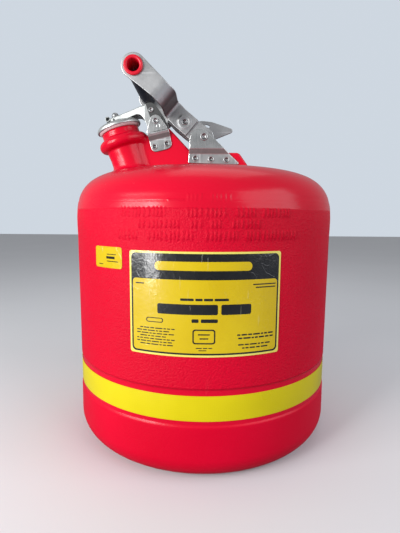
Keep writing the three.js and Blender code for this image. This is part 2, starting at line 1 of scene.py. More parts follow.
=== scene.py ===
"""A round red safety can with a tilted, sprung pouring cap, a swinging handle and printed labels.

Z is up and the can stands on z = 0 with its axis on x = y = 0. The neck, cap and lever lie
towards -X, the rear brackets near x = 0. The labels and all "near" pieces face -Y. Sizes are in
millimetres and build() turns them into metres; materials, lights and camera use metres.
"""
import math
import bpy
import bmesh
import numpy as np
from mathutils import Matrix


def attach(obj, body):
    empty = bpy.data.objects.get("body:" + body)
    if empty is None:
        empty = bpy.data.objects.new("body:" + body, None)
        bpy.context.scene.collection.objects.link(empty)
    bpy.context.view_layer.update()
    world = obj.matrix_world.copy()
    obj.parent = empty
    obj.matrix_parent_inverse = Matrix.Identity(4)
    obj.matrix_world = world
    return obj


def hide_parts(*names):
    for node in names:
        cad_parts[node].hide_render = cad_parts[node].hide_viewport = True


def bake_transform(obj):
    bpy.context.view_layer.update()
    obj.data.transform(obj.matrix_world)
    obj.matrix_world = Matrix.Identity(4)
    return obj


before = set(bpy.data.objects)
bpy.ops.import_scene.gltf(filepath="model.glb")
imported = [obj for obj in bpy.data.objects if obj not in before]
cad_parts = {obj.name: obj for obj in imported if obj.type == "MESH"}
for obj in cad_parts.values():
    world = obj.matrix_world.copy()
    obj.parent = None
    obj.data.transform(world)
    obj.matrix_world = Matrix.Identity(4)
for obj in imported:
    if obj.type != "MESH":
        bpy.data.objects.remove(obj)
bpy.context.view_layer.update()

import openvdb as vdb
from mathutils import Vector, Matrix
from mathutils.geometry import delaunay_2d_cdt


# ------------------------------------------------------------------ frames and driving sizes
class Frame:
    """A tilted 2D frame in the XZ plane; side = -1 turns its second axis over."""

    def __init__(self, origin, degrees=0.0, side=1):
        self.origin = origin
        angle = math.radians(degrees)
        self.along = (math.cos(angle), math.sin(angle))
        self.across = (-side * math.sin(angle), side * math.cos(angle))

    def to_xz(self, first, second):
        return tuple(self.origin[i] + first * self.along[i] + second * self.across[i]
                     for i in (0, 1))

    def from_xz(self, x, z):
        dx, dz = x - self.origin[0], z - self.origin[1]
        return (dx * self.along[0] + dz * self.along[1],
                dx * self.across[0] + dz * self.across[1])

    def place(self, points, side):
        """World places of (first, second, outward) points; side -1 faces -Y, 1 faces +Y."""
        x, z = self.to_xz(points[:, 0], points[:, 1])
        return np.stack([x, side * points[:, 2], z], 1)


REAR_PIVOT = (0.0, 352.3)            # places are (x, z)
FRONT_PIVOT = (-58.0, 370.5)
CROSS_RIVET = (-23.1, 369.0)
LEVER_PIN = (-63.4, 383.4)
WORLD = Frame((0.0, 0.0))
NECK = Frame((-95.6, 336.5), 17.8)   # second axis runs up the neck
FRONT = Frame(FRONT_PIVOT, 13.5)
ARM = Frame(REAR_PIVOT, 139.5, -1)   # first axis runs along the handle
GRIP_ON_ARM = (99.5, -0.5)
GRIP = ARM.to_xz(*GRIP_ON_ARM)

REAR_RIVETS = [(-10.5, 327.6), (8.6, 326.6), (27.3, 326.0)]
FRONT_RIVETS = [(-8.6, -28.1), (6.6, -28.1)]           # in FRONT
FRONT_RIVETS_XZ = [FRONT.to_xz(*place) for place in FRONT_RIVETS]
RIVET_HOLE, SMALL_HOLE, PIVOT_HOLE = 2.8, 2.7, 3.6     # radii

# inner faces of the sheets, as distances from y = 0, and sheet thicknesses
EAR_Y, LOW_Y = 13.6, 10.0            # the brackets' upper ears and riveted feet
REAR_T, FRONT_T, ARM_T = 1.5, 1.2, 2.0
ARM_HUB_Y, ARM_LOW_Y, ARM_TOP_Y = 11.2, 13.7, 57.4
ARM_CRANK, ARM_JOG = 51.8, 21.0      # where the arm bends outwards, along ARM

TANK_R, WALL = 152.4, 4.0
DOME_BASE, DOME_H = 250.7, 61.38
DOME_R_POWER, DOME_Z_POWER = 5.148, 2.777
FILM_R = 152.02                      # the wall under the labels


# ------------------------------------------------------------------ mesh helpers
MATERIALS = {}
NO_TRIANGLES = np.zeros((0, 3), np.int32)


def new_mesh(name, vertices, quads, triangles):
    mesh = bpy.data.meshes.new(name)
    loops = np.concatenate([quads.ravel(), triangles.ravel()])
    starts = np.concatenate([np.arange(len(quads)) * 4,
                             len(quads) * 4 + np.arange(len(triangles)) * 3])
    mesh.vertices.add(len(vertices))
    mesh.vertices.foreach_set("co", vertices.astype(np.float32).ravel())
    mesh.loops.add(len(loops))
    mesh.loops.foreach_set("vertex_index", loops.astype(np.int32))
    mesh.polygons.add(len(starts))
    mesh.polygons.foreach_set("loop_start", starts.astype(np.int32))
    mesh.update(calc_edges=True)
    return mesh


def build(name, parts, materials, smooth=True, material_index=None):
    """An object from (vertices in mm, quads, triangles) and material names."""
    vertices, quads, triangles = parts
    mesh = new_mesh(name, vertices / 1000.0, quads, triangles)
    mesh.validate()
    mesh.polygons.foreach_set("use_smooth", np.full(len(mesh.polygons), smooth, bool))
    for material in materials:
        mesh.materials.append(MATERIALS[material])
    if material_index is not None:
        mesh.polygons.foreach_set("material_index", material_index)
    mesh.update()
    ob = bpy.data.objects.new(name, mesh)
    bpy.context.scene.collection.objects.link(ob)
    return ob


def declare(ob, body, node):
    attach(ob, body)
    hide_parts(node)


def piece(name, parts, material, body, node):
    """Build a piece; its slot has the name of its material."""
    declare(build(name, parts, [material]), body, node)


def outward(vertices, quads, triangles=NO_TRIANGLES):
    """Turn the faces outwards, judged by the signed volume."""
    fans = np.concatenate([quads[:, :3], quads[:, [0, 2, 3]], triangles])
    a, b, c = (vertices[fans[:, i]] for i in range(3))
    if np.einsum("ij,ij->", a, np.cross(b, c)) < 0:
        return quads[:, ::-1], triangles[:, ::-1]
    return quads, triangles


def fillet(points, radius, closed=True, detail=6):
    """Round the corners of a polyline; radius is one value or one per point."""
    points = np.array(points, float)
    radii = np.broadcast_to(radius, len(points))
    rounded = []
    for i, corner in enumerate(points):
        if not closed and i in (0, len(points) - 1):
            rounded.append(tuple(corner))
            continue
        before = points[i - 1] - corner
        after = points[(i + 1) % len(points)] - corner
        before_length, after_length = np.hypot(*before), np.hypot(*after)
        before, after = before / before_length, after / after_length
        half = math.acos(float(np.clip(before @ after, -1, 1))) / 2
        if half > math.radians(88.5):
            rounded.append(tuple(corner))
            continue
        # the cut never takes more than 0.46 of a side
        cut = min(radii[i] / math.tan(half), 0.46 * before_length, 0.46 * after_length)
        bend = cut * math.tan(half)
        bisector = before + after
        bisector = bisector / np.hypot(*bisector)
        centre = corner + bisector * (bend / math.sin(half))
        start = math.atan2(*(corner + before * cut - centre)[::-1])
        end = math.atan2(*(corner + after * cut - centre)[::-1])
        turn = (end - start + math.pi) % (2 * math.pi) - math.pi
        count = max(2, int(detail * abs(turn)) + 1)
        for j in range(count + 1):
            angle = start + turn * j / count
            rounded.append((centre[0] + bend * math.cos(angle),
                            centre[1] + bend * math.sin(angle)))
    return rounded


def rectangle(x0, y0, x1, y1, radius, detail=5):
    return fillet([(x0, y0), (x1, y0), (x1, y1), (x0, y1)], radius, True, detail)


def arc(centre, radius, start, step, count):
    """Points on a circle; start and step in degrees."""
    angles = [math.radians(start + i * step) for i in range(count)]
    return [(centre[0] + radius * math.cos(angle), centre[1] + radius * math.sin(angle))
            for angle in angles]


def offset_path(points, distance):
    """An open path moved sideways, to its left for a positive distance."""
    points = np.array(points, float)
    steps = np.diff(points, axis=0)
    normals = np.stack([-steps[:, 1], steps[:, 0]], 1) / np.hypot(*steps.T)[:, None]
    before = np.vstack([normals[:1], normals])
    after = np.vstack([normals, normals[-1:]])
    return points + distance * (before + after) / (1 + (before * after).sum(1))[:, None]


def lathe(profile, count, origin=(0, 0, 0), axis=(0, 0, 1), ref=(1, 0, 0), closed=False):
    """Turn a profile of (radius, along axis); radius 0 makes a pole, closed joins its ends."""
    origin, axis, ref = (np.array(vector, float) for vector in (origin, axis, ref))
    third = np.cross(axis, ref)
    angles = np.arange(count) * 2 * math.pi / count
    vertices, rings, quads, triangles = [], [], [], []
    for radius, along in profile:
        turns = angles[:1] if radius < 1e-6 else angles
        rings.append(range(len(vertices), len(vertices) + len(turns)))
        for angle in turns:
            vertices.append(origin + axis * along + ref * radius * math.cos(angle)
                            + third * radius * math.sin(angle))
    pairs = list(zip(rings[:-1], rings[1:])) + ([(rings[-1], rings[0])] if closed else [])
    for lower, upper in pairs:
        for i in range(count):
            j = (i + 1) % count
            if len(lower) == 1:
                triangles.append((lower[0], upper[j], upper[i]))
            elif len(upper) == 1:
                triangles.append((lower[i], lower[j], upper[0]))
            else:
                quads.append((lower[i], lower[j], upper[j], upper[i]))
    vertices = np.array(vertices)
    quads = np.array(quads, np.int32).reshape(-1, 4)
    triangles = np.array(triangles, np.int32).reshape(-1, 3)
    return vertices, *outward(vertices, quads, triangles)


def lathe_y(profile, centre, count, closed=False):
    """Turn a profile of (radius, y) about the line along Y through centre (x, z)."""
    return lathe(profile, count, (centre[0], 0, centre[1]), (0, 1, 0), (1, 0, 0), closed)


NECK_ORIGIN = (NECK.origin[0], 0, NECK.origin[1])
NECK_AXIS = (NECK.across[0], 0, NECK.across[1])
NECK_REF = (NECK.along[0], 0, NECK.along[1])


def lathe_neck(profile, count=96, closed=False):
    """Turn a profile of (radius, height) about the neck's axis."""
    return lathe(profile, count, NECK_ORIGIN, NECK_AXIS, NECK_REF, closed)


# ------------------------------------------------------------------ distance fields
def smooth_max(a, b, radius):
    outer = np.hypot(np.maximum(a + radius, 0), np.maximum(b + radius, 0))
    return np.minimum(np.maximum(a, b), -radius) + outer


def smooth_min(a, b, radius):
    outer = np.hypot(np.maximum(radius - a, 0), np.maximum(radius - b, 0))
    return np.maximum(np.minimum(a, b), radius) - outer


def smoothstep(x, start, end):
    t = np.clip((x - start) / (end - start), 0, 1)
    return t * t * (3 - 2 * t)


def hole(x, z, centre, radius):
    """Positive inside a round hole."""
    return radius - np.hypot(x - centre[0], z - centre[1])


def to_path(x, y, points):
    """Distance to an open polyline."""
    squared = np.inf
    for (x0, y0), (x1, y1) in zip(points[:-1], points[1:]):
        ex, ey = x1 - x0, y1 - y0
        wx, wy = x - x0, y - y0
        t = np.clip((wx * ex + wy * ey) / max(ex * ex + ey * ey, 1e-12), 0, 1)
        bx, by = wx - ex * t, wy - ey * t
        squared = np.minimum(squared, bx * bx + by * by)
    return np.sqrt(squared)


def to_outline(x, y, points):
    """Signed distance to a closed outline, negative inside."""
    sign = 1.0
    for (x0, y0), (x1, y1) in zip(points, points[-1:] + points[:-1]):
        above, below = y >= y0, y < y1
        left = (x1 - x0) * (y - y0) > (y1 - y0) * (x - x0)
        sign = np.where((above & below & left) | (~above & ~below & ~left), -sign, sign)
    return sign * to_path(x, y, points[:1] + points[::-1])


def field_mesh(field, low, high, cell):
    """Quads on the zero surface of a field, drawn onto it by three Newton steps."""
    axes = [np.arange(low[i], high[i] + cell, cell) for i in range(3)]
    values = field(axes[0][:, None, None], axes[1][None, :, None], axes[2][None, None, :])
    values = np.broadcast_to(values, tuple(len(axis) for axis in axes)).astype(np.float32)
    values = np.clip(values, -3 * cell, 3 * cell)
    grid = vdb.FloatGrid(3.0 * cell)
    grid.copyFromArray(np.ascontiguousarray(values))
    points, quads = grid.convertToQuads(0.0)
    points = points.astype(np.float64) * cell + np.array([axis[0] for axis in axes])
    reach = 0.04                     # half the span of the gradient's differences
    for _ in range(3):
        gradient = np.stack([(field(*(points + shift).T) - field(*(points - shift).T))
                             / (2 * reach) for shift in np.eye(3) * reach], 1)
        slope = np.maximum((gradient ** 2).sum(1), 0.05)
        travel = np.clip(field(*points.T) / slope, -cell, cell)
        points = points - travel[:, None] * gradient
    quads, _ = outward(points, quads.astype(np.int32))
    return points, quads


# ------------------------------------------------------------------ materials
class Surface:
    """A Principled material; its helpers add nodes and return output sockets."""

    def __init__(self, name):
        material = bpy.data.materials.new(name)
        material.use_nodes = True
        self.tree = material.node_tree
        self.tree.nodes.clear()
        output = self.node("ShaderNodeOutputMaterial")
        self.shader = self.node("ShaderNodeBsdfPrincipled")
        self.feed(output.inputs["Surface"], self.shader.outputs["BSDF"])
        self.coords = self.node("ShaderNodeTexCoord")
        MATERIALS[name] = material

    def node(self, kind, **settings):
        node = self.tree.nodes.new(kind)
        for key, value in settings.items():
            setattr(node, key, value)
        return node

    def feed(self, socket, value):
        """Link a socket or set a plain value."""
        if isinstance(value, bpy.types.NodeSocket):
            self.tree.links.new(value, socket)
        else:
            socket.default_value = value

    def set(self, **inputs):
        """Feed the shader's inputs; underscores stand for spaces."""
        for key, value in inputs.items():
            self.feed(self.shader.inputs[key.replace("_", " ")], value)

    def axes(self, source="Object"):
        node = self.node("ShaderNodeSeparateXYZ")
        self.feed(node.inputs["Vector"], self.coords.outputs[source])
        return node.outputs

    def noise(self, scale, detail=3, roughness=0.5, stretch=None, turn=(0, 0, 0),
              distortion=0.0):
        vector = self.coords.outputs["Object"]
        if stretch:
            mapping = self.node("ShaderNodeMapping")
            mapping.inputs["Scale"].default_value = stretch
            mapping.inputs["Rotation"].default_value = turn
            self.feed(mapping.inputs["Vector"], vector)
            vector = mapping.outputs[0]
        node = self.node("ShaderNodeTexNoise")
        for key, value in (("Scale", scale), ("Detail", detail), ("Roughness", roughness),
                           ("Distortion", distortion), ("Vector", vector)):
            self.feed(node.inputs[key], value)
        return node.outputs["Fac"]

    def scratches(self, scale, stretch, turn, cut, distortion=0.0, detail=2, roughness=0.4):
        """Thin streaks: stretched noise cut between two levels."""
        return self.remap(self.noise(scale, detail, roughness, stretch, turn, distortion), cut)

    def math(self, operation, *values, clamp=False):
        node = self.node("ShaderNodeMath", operation=operation, use_clamp=clamp)
        for socket, value in zip(node.inputs, values):
            self.feed(socket, value)
        return node.outputs[0]

    def add(self, total, *others, clamp=False):
        for other in others:
            total = self.math("ADD", total, other, clamp=clamp)
        return total

    def multiply(self, first, second):
        return self.math("MULTIPLY", first, second)

    def mix(self, factor, first, second):
        node = self.node("ShaderNodeMix", data_type="RGBA")
        self.feed(node.inputs["Factor"], factor)
        self.feed(node.inputs[6], first)
        self.feed(node.inputs[7], second)
        return node.outputs[2]

    def remap(self, value, span, result=(0, 1), smooth=False):
        node = self.node("ShaderNodeMapRange")
        if smooth:
            node.interpolation_type = "SMOOTHSTEP"
        for socket, number in zip(node.inputs, (value, *span, *result)):
            self.feed(socket, number)
        return node.outputs[0]

    def bump(self, height, strength, distance):
        node = self.node("ShaderNodeBump")
        self.feed(node.inputs["Strength"], strength)
        self.feed(node.inputs["Distance"], distance)
        self.feed(node.inputs["Height"], height)
        return node.outputs[0]


def tank_material():
    """Red moulding: grained wall, finer grain at the foot, smooth dome."""
    mat = Surface("tank_red")
    height = mat.axes()["Z"]
    above_recess = mat.remap(height, (0.0955, 0.0985), smooth=True)
    below_shoulder = mat.remap(height, (0.2640, 0.2655), (1, 0), smooth=True)
    wall = mat.multiply(above_recess, below_shoulder)
    foot = mat.remap(height, (0.058, 0.062), (1, 0), smooth=True)
    matte = mat.add(wall, foot, clamp=True)
    # colour: broad drift, fine specks, faint scuffs
    broad = mat.noise(scale=7, detail=2)
    fine = mat.noise(scale=230, roughness=0.6)
    colour = mat.mix(mat.remap(broad, (0.35, 0.7)), (0.58, 0.0006, 0.018, 1),
                     (0.66, 0.0010, 0.024, 1))
    colour = mat.mix(mat.remap(fine, (0.55, 0.8), (0, 0.05)), colour, (0.66, 0.02, 0.05, 1))
    scuffs = mat.scratches(scale=90, stretch=(1.0, 1.0, 0.12), turn=(0.35, 0.2, 0.1),
                           cut=(0.70, 0.74), distortion=0.4, detail=3, roughness=0.5)
    colour = mat.mix(mat.multiply(scuffs, 0.03), colour, (0.70, 0.10, 0.12, 1))
    rough = mat.add(0.24, mat.multiply(matte, 0.16), mat.remap(broad, (0.3, 0.7), (-0.03, 0.04)),
                    mat.multiply(scuffs, 0.08))
    # relief: two grains scaled by zone, over a slow wave
    coarse_grain = mat.noise(scale=620, detail=2, roughness=0.55)
    fine_grain = mat.noise(scale=1500, detail=1)
    grain = mat.add(coarse_grain, mat.multiply(fine_grain, 0.35))
    depth = mat.add(mat.multiply(wall, 1.0), mat.add(mat.multiply(foot, 0.22), 0.02))
    wave = mat.noise(scale=22, detail=2)
    relief = mat.add(mat.multiply(grain, depth), mat.multiply(wave, 0.25))
    mat.set(Base_Color=colour, Roughness=rough,
            Normal=mat.bump(relief, strength=0.85, distance=0.0011),
            Specular_IOR_Level=mat.remap(matte, (0, 1), (0.24, 0.11)),
            Coat_Weight=mat.remap(matte, (0, 1), (0.06, 0.0)),
            Subsurface_Weight=0.0, Coat_Roughness=0.16, IOR=1.5)


def tape_material():
    """Reflective tape: a faint honeycomb under a clear film."""
    mat = Surface("band_yellow")
    axes = mat.axes()
    angle = mat.math("ARCTAN2", axes["Y"], axes["X"])
    unrolled = mat.node("ShaderNodeCombineXYZ")
    mat.feed(unrolled.inputs[0], mat.multiply(angle, 0.1515))    # arc length at the tape's radius
    mat.feed(unrolled.inputs[1], axes["Z"])
    comb = mat.node("ShaderNodeTexVoronoi", feature="DISTANCE_TO_EDGE", voronoi_dimensions="2D")
    comb.inputs["Scale"].default_value = 520
    comb.inputs["Randomness"].default_value = 0.15
    mat.feed(comb.inputs["Vector"], unrolled.outputs[0])
    cell = mat.remap(comb.outputs["Distance"], (0.03, 0.16))
    broad = mat.noise(scale=16, roughness=0.6)
    colour = mat.mix(mat.remap(broad, (0.3, 0.75)), (0.60, 0.49, 0.001, 1),
                     (0.67, 0.55, 0.002, 1))
    colour = mat.mix(mat.multiply(cell, 0.25), colour, (0.70, 0.59, 0.003, 1))
    relief = mat.add(cell, mat.multiply(broad, 4))
    mat.set(Base_Color=colour, Roughness=mat.remap(broad, (0.3, 0.7), (0.26, 0.38)),
            Normal=mat.bump(relief, strength=0.10, distance=0.0002),
            Coat_Weight=0.15, Coat_Roughness=0.1, Specular_IOR_Level=0.3)


def film_material(name, first, second, rough):
    """Printed film: slight ripple, fine scratches and creases."""
    mat = Surface(name)
    broad = mat.noise(scale=22)
    ripple = mat.noise(scale=260, detail=2)
    scratches = mat.scratches(scale=420, stretch=(1.0, 1.0, 0.10), turn=(0.1, 0.35, 0.2),
                              cut=(0.70, 0.72), distortion=0.3)
    colour = mat.mix(mat.remap(broad, (0.3, 0.7)), first, second)
    colour = mat.mix(mat.multiply(scratches, 0.10), colour, (0.8, 0.78, 0.5, 1))
    # creases follow the middle level of a distorted noise
    folds = mat.noise(scale=34, detail=2, distortion=0.6)
    from_middle = mat.math("ABSOLUTE", mat.math("SUBTRACT", folds, 0.5))
    creases = mat.remap(from_middle, (0.0, 0.012), (1, 0), smooth=True)
    relief = mat.add(mat.multiply(ripple, 0.8), mat.multiply(scratches, 0.5),
                     mat.multiply(creases, 0.22))
    normal = mat.bump(relief, strength=0.5, distance=0.0004)
    mat.set(Base_Color=colour, Normal=normal, Coat_Normal=normal,
            Roughness=mat.remap(broad, (0.3, 0.7), (rough - 0.04, rough + 0.06)),
            Coat_Weight=0.7, Coat_Roughness=0.10, Specular_IOR_Level=0.3)


def steel_material(name, base, rough, grain=(1, 1, 1), turn=(0, 0, 0), scratch=0.3, relief=0.2,
                   dark=0.35, under=0.0, bend=None, corner_shade_colour=(0.10, 0.095, 0.09, 1)):
    """Brushed steel.

    grain, turn: stretch and rotation of the brushing; scratch, relief: scratch and bump strength;
    dark: painted shade in the corners, found by ambient occlusion; under: painted shade on faces
    turned down;
    bend: a painted shade patch beyond a line, as (slope in z, start, end, amount).
    """
    mat = Surface(name)
    broad = mat.noise(scale=38, roughness=0.55)
    brushed = mat.noise(scale=900, detail=4, roughness=0.6, stretch=grain, turn=turn)
    colour = mat.mix(mat.remap(broad, (0.35, 0.72)), tuple(x * 0.90 for x in base) + (1,),
                     tuple(min(1, x * 1.08) for x in base) + (1,))
    colour = mat.mix(mat.remap(brushed, (0.45, 0.75), (0, 0.25)), colour,
                     tuple(x * 0.70 for x in base) + (1,))
    # scratches in two directions
    upright = mat.scratches(scale=260, stretch=(1.0, 1.0, 0.05), turn=(0.4, 0.9, 0.3),
                            cut=(0.66, 0.70), distortion=0.2)
    level = mat.scratches(scale=340, stretch=(0.05, 1.0, 1.0), turn=(0.2, 0.5, 1.0),
                          cut=(0.67, 0.71), distortion=0.2)
    scratches = mat.add(upright, level, clamp=True)
    colour = mat.mix(mat.multiply(scratches, 0.35 * scratch), colour, (0.85, 0.86, 0.87, 1))
    # painted shade: corners found by ambient occlusion are darkened
    occlusion = mat.node("ShaderNodeAmbientOcclusion", samples=4)
    occlusion.inputs["Distance"].default_value = 0.004
    corners = mat.remap(occlusion.outputs["AO"], (0.25, 0.8), (1, 0))
    colour = mat.mix(mat.multiply(corners, dark), colour, corner_shade_colour)
    if under > 0:
        # painted shade: faces turned down are darkened and made less metallic
        down = mat.remap(mat.axes("Normal")["Z"], (-0.10, -0.72), (0, under), smooth=True)
        colour = mat.mix(down, colour, (0.024, 0.025, 0.026, 1))
        mat.set(Metallic=mat.math("SUBTRACT", 1.0, down),
                Specular_IOR_Level=mat.remap(down, (0, 1), (0.5, 0.08)))
    else:
        mat.set(Metallic=1.0)
    if bend:
        slope, start, end, amount = bend
        axes = mat.axes()
        beyond = mat.add(axes["X"], mat.multiply(axes["Z"], slope))
        # painted shade: beyond the line the colour darkens to near black
        painted_shade_patch = mat.remap(beyond, (start, end), (0, amount), smooth=True)
        colour = mat.mix(painted_shade_patch, colour, (0.055, 0.055, 0.055, 1))
    roughness = mat.add(mat.remap(broad, (0.3, 0.7), (rough - 0.06, rough + 0.08)),
                        mat.remap(brushed, (0.3, 0.7), (-0.05, 0.08)),
                        mat.multiply(scratches, 0.08), mat.multiply(corners, 0.15))
    height = mat.add(brushed, mat.multiply(scratches, -0.9 * scratch), mat.multiply(broad, 3.0))
    mat.set(Base_Color=colour, Roughness=roughness,
            Normal=mat.bump(height, strength=relief, distance=0.00012))


def gloss_material(name, first, second, rough, grain, relief, coat, dust, dust_colour, specular):
    """Plastic or rubber; grain is a noise scale, relief the bump strength."""
    mat = Surface(name)
    broad = mat.noise(scale=30, roughness=0.55)
    fine = mat.noise(scale=grain, roughness=0.6)
    colour = mat.mix(mat.remap(broad, (0.3, 0.7)), first, second)
    colour = mat.mix(mat.remap(fine, (0.58, 0.75), (0, dust)), colour, dust_colour)
    scratches = mat.scratches(scale=300, stretch=(1.0, 1.0, 0.06), turn=(0.7, 0.3, 0.2),
                              cut=(0.67, 0.71), distortion=0.1)
    height = mat.add(fine, mat.multiply(scratches, -0.8))
    mat.set(Base_Color=colour, Normal=mat.bump(height, strength=relief, distance=0.0003),
            Roughness=mat.remap(broad, (0.3, 0.7), (rough - 0.05, rough + 0.08)),
            Coat_Weight=coat, Coat_Roughness=0.12, Specular_IOR_Level=specular)


tank_material()
tape_material()
film_material("label_yellow", (0.58, 0.40, 0.001, 1), (0.64, 0.46, 0.003, 1), rough=0.28)
film_material("label_pale", (0.74, 0.64, 0.10, 1), (0.78, 0.69, 0.15, 1), rough=0.30)
film_material("label_black", (0.006, 0.006, 0.006, 1), (0.014, 0.014, 0.013, 1), rough=0.24)
# under sets painted shade on faces turned down; dark sets painted shade in the corners
steel_material("bracket_steel", (0.66, 0.675, 0.665), rough=0.30, grain=(1, 1, 0.10),
               turn=(0, 0.75, 0), scratch=0.9, relief=0.35, under=1.0)
steel_material("arm_steel", (0.52, 0.525, 0.525), rough=0.40, grain=(1, 0.3, 1), scratch=0.5,
               relief=0.22, under=0.92)
# the lever's bend is a painted shade patch on the cheek beyond its bend line
steel_material("lever_steel", (0.48, 0.50, 0.49), rough=0.50, grain=(0.15, 1, 1),
               turn=(0, 0.35, 0), scratch=0.5, under=0.5, bend=(0.352, 0.0668, 0.0676, 0.88))
steel_material("cap_steel", (0.70, 0.72, 0.70), rough=0.40, relief=0.15, under=0.3)
# rivets: full painted shade in their dimples and corners
steel_material("fastener_steel", (0.46, 0.47, 0.47), rough=0.44, scratch=0.4, relief=0.15,
               dark=1.0, corner_shade_colour=(0.02, 0.02, 0.02, 1))
steel_material("spacer_steel", (0.42, 0.43, 0.44), rough=0.36, grain=(1, 0.2, 1))
steel_material("arrester_steel", (0.50, 0.50, 0.50), rough=0.38)
steel_material("screen_steel", (0.34, 0.34, 0.34), rough=0.42, scratch=0.1)
steel_material("spring_steel", (0.36, 0.36, 0.37), rough=0.32, scratch=0.2)
gloss_material("seal_pale", (0.70, 0.60, 0.58, 1), (0.76, 0.67, 0.65, 1), rough=0.50, grain=700,
               relief=0.18, coat=0.0, dust=0.10, dust_colour=(0.5, 0.35, 0.33, 1), specular=0.3)
gloss_material("grip_red", (0.56, 0.003, 0.018, 1), (0.64, 0.006, 0.024, 1), rough=0.34,
               grain=900, relief=0.12, coat=0.1, dust=0.05, dust_colour=(0.7, 0.12, 0.14, 1),
               specular=0.4)
gloss_material("grip_dark", (0.006, 0.007, 0.013, 1), (0.010, 0.012, 0.022, 1), rough=0.38,
               grain=1100, relief=0.14, coat=0.0, dust=0.05, dust_colour=(0.05, 0.05, 0.06, 1),
               specular=0.16)


# ------------------------------------------------------------------ tank
CUT_Z = 285.0            # field mesh above, turned rings below
CUT_MID_R = 143.4        # parts the outer from the inner edge of the cut

# upright web that carries the brackets, (x, z)
WEB = fillet([(-92, 290), (-90, 340), (-76, 350.5), (-70, 353), (-63, 357), (-52, 361.5),
              (-44, 363.5), (-41, 362), (-18.4, 338.4), (-15, 335.8), (-11, 335), (40.5, 335),
              (43.6, 333.6), (53, 320.8), (58, 312), (62, 290)], 3.0, True, 4)
WEB_HALF_Y = 9.7

# rows of raised upright ribs: centre z, height, relief, spans in degrees from -Y towards +X;
# the last row lies on the dome beside the level line
RIB_ROWS = [
    (261.2, 7.4, 0.62, [(-30.5, -13.0), (-6.5, 7.5), (11.0, 18.5), (21.0, 32.0)]),
    (250.9, 6.6, 0.62, [(-23.5, -8.0), (-4.5, -0.5), (2.5, 6.0), (9.5, 20.0)]),
    (240.6, 7.4, 0.62, [(-32.5, -23.0), (-20.0, -3.0), (0.0, 11.5), (14.5, 35.0)]),
    (274.3, 5.4, 0.45, [(-5.5, -0.5), (2.0, 9.5)]),
]
RIB_STEPS = (4, 5, 4, 6, 5, 4, 7, 5, 4, 5)     # columns from one rib to the next

RELIEF_COUNT, OUTER_COUNT = ((1080, 360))
INNER_COUNT = 240

# outer wall down to the standing edge, then up under the base: (z, radius)
OUTER_ROWS = [(231.0, 151.95)]
OUTER_ROWS += [(float(z), 151.95 - 0.35 * (231 - z) / 133) for z in np.arange(220, 100, -12)]
OUTER_ROWS += [
    (98.6, 151.60), (97.9, 151.58), (97.2, 151.40), (96.5, 151.12), (95.9, 151.02),
    (94, 151.0), (80, 151.0), (64, 151.0), (61.6, 151.0), (61.0, 151.06), (60.3, 151.5),
    (59.6, 151.92), (58.9, 152.02), (56, 152.08), (46, 152.2), (36, 152.28)]
OUTER_ROWS += [(27 - 27 * math.sin(angle), 124.4 + 27.9 * math.cos(angle))
               for angle in (i / 24 * math.pi / 2 for i in range(25))]
OUTER_ROWS += [(0.0, 118.0), (0.0, 104.0), (0.15, 99.6), (0.7, 98.2), (5.2, 87.6), (5.8, 86.2),
               (6.0, 84.4), (6.0, 70), (6.0, 40), (6.0, 16)]
BASE_Z, FLOOR_Z = 6.0, 10.0                    # underside and inside of the bottom


def dome_field(x, y, z, radius, height):
    across = np.sqrt(x * x + y * y) / radius
    up = np.maximum(z - DOME_BASE, 0) / height
    value = across ** DOME_R_POWER + up ** DOME_Z_POWER - 1
    slope_across = DOME_R_POWER / radius * across ** (DOME_R_POWER - 1)
    slope_up = DOME_Z_POWER / height * up ** (DOME_Z_POWER - 1)
    slope = np.sqrt(slope_across * slope_across + slope_up * slope_up + 1e-7)
    return np.clip(value / slope, -40, 40)


def dome_radius(z, radius=TANK_R, height=DOME_H):
    up = max(z - DOME_BASE, 0) / height
    return radius * (1 - up ** DOME_Z_POWER) ** (1 / DOME_R_POWER)


def tank_field(x, y, z):
    neck_x, neck_z = NECK.from_xz(x, z)
    neck_r = np.sqrt(neck_x * neck_x + y * y)
    # the dome rises by 3.4 towards the neck
    dome = dome_field(x, y, z, TANK_R, DOME_H) - 3.4 * smoothstep(neck_r, 44, 25)
    web = smooth_max(to_outline(x, z, WEB), np.abs(y) - WEB_HALF_Y, 2.6)
    top = smooth_min(dome, web, 4.5)
    flare = 21.9 + 0.8 * smoothstep(neck_z, -8, 2.6)
    neck = smooth_max(neck_r - flare, neck_z - 25.2, 1.3)
    bead = np.hypot(neck_r - 23.5, neck_z - 10.3) - 6.5
    outside = smooth_min(top, smooth_min(neck, bead, 2.2), 5.0)
    # the hollow: inner dome, bore and a step at the mouth
    inner_dome = dome_field(x, y, z, TANK_R - WALL, DOME_H - WALL)
    mouth = np.maximum(neck_r - 20.9, 23.4 - neck_z)
    hollow = np.minimum(np.minimum(inner_dome, neck_r - 18.4), mouth)
    solid = smooth_max(outside, -hollow, 0.9)
    for place in REAR_RIVETS + FRONT_RIVETS_XZ:
        solid = np.maximum(solid, hole(x, z, place, RIVET_HOLE))
    return solid


def clip_below(points, quads, cut_z):
    """Cut away what lies under cut_z; also returns the vertices on the open edges."""
    mesh = new_mesh("tmp", points, quads, NO_TRIANGLES)
    bm = bmesh.new()
    bm.from_mesh(mesh)
    bmesh.ops.bisect_plane(bm, geom=bm.verts[:] + bm.edges[:] + bm.faces[:], dist=1e-4,
                           plane_co=(0, 0, cut_z), plane_no=(0, 0, 1), clear_inner=True)
    bmesh.ops.triangulate(bm, faces=[face for face in bm.faces if len(face.verts) > 4])
    bm.verts.index_update()
    vertices = [tuple(vert.co) for vert in bm.verts]
    faces = [tuple(vert.index for vert in face.verts) for face in bm.faces]
    edge = sorted({vert.index for line in bm.edges if len(line.link_faces) == 1
                   for vert in line.verts})
    bm.free()
    bpy.data.meshes.remove(mesh)
    return (vertices, [face for face in faces if len(face) == 4],
            [face for face in faces if len(face) == 3], edge)


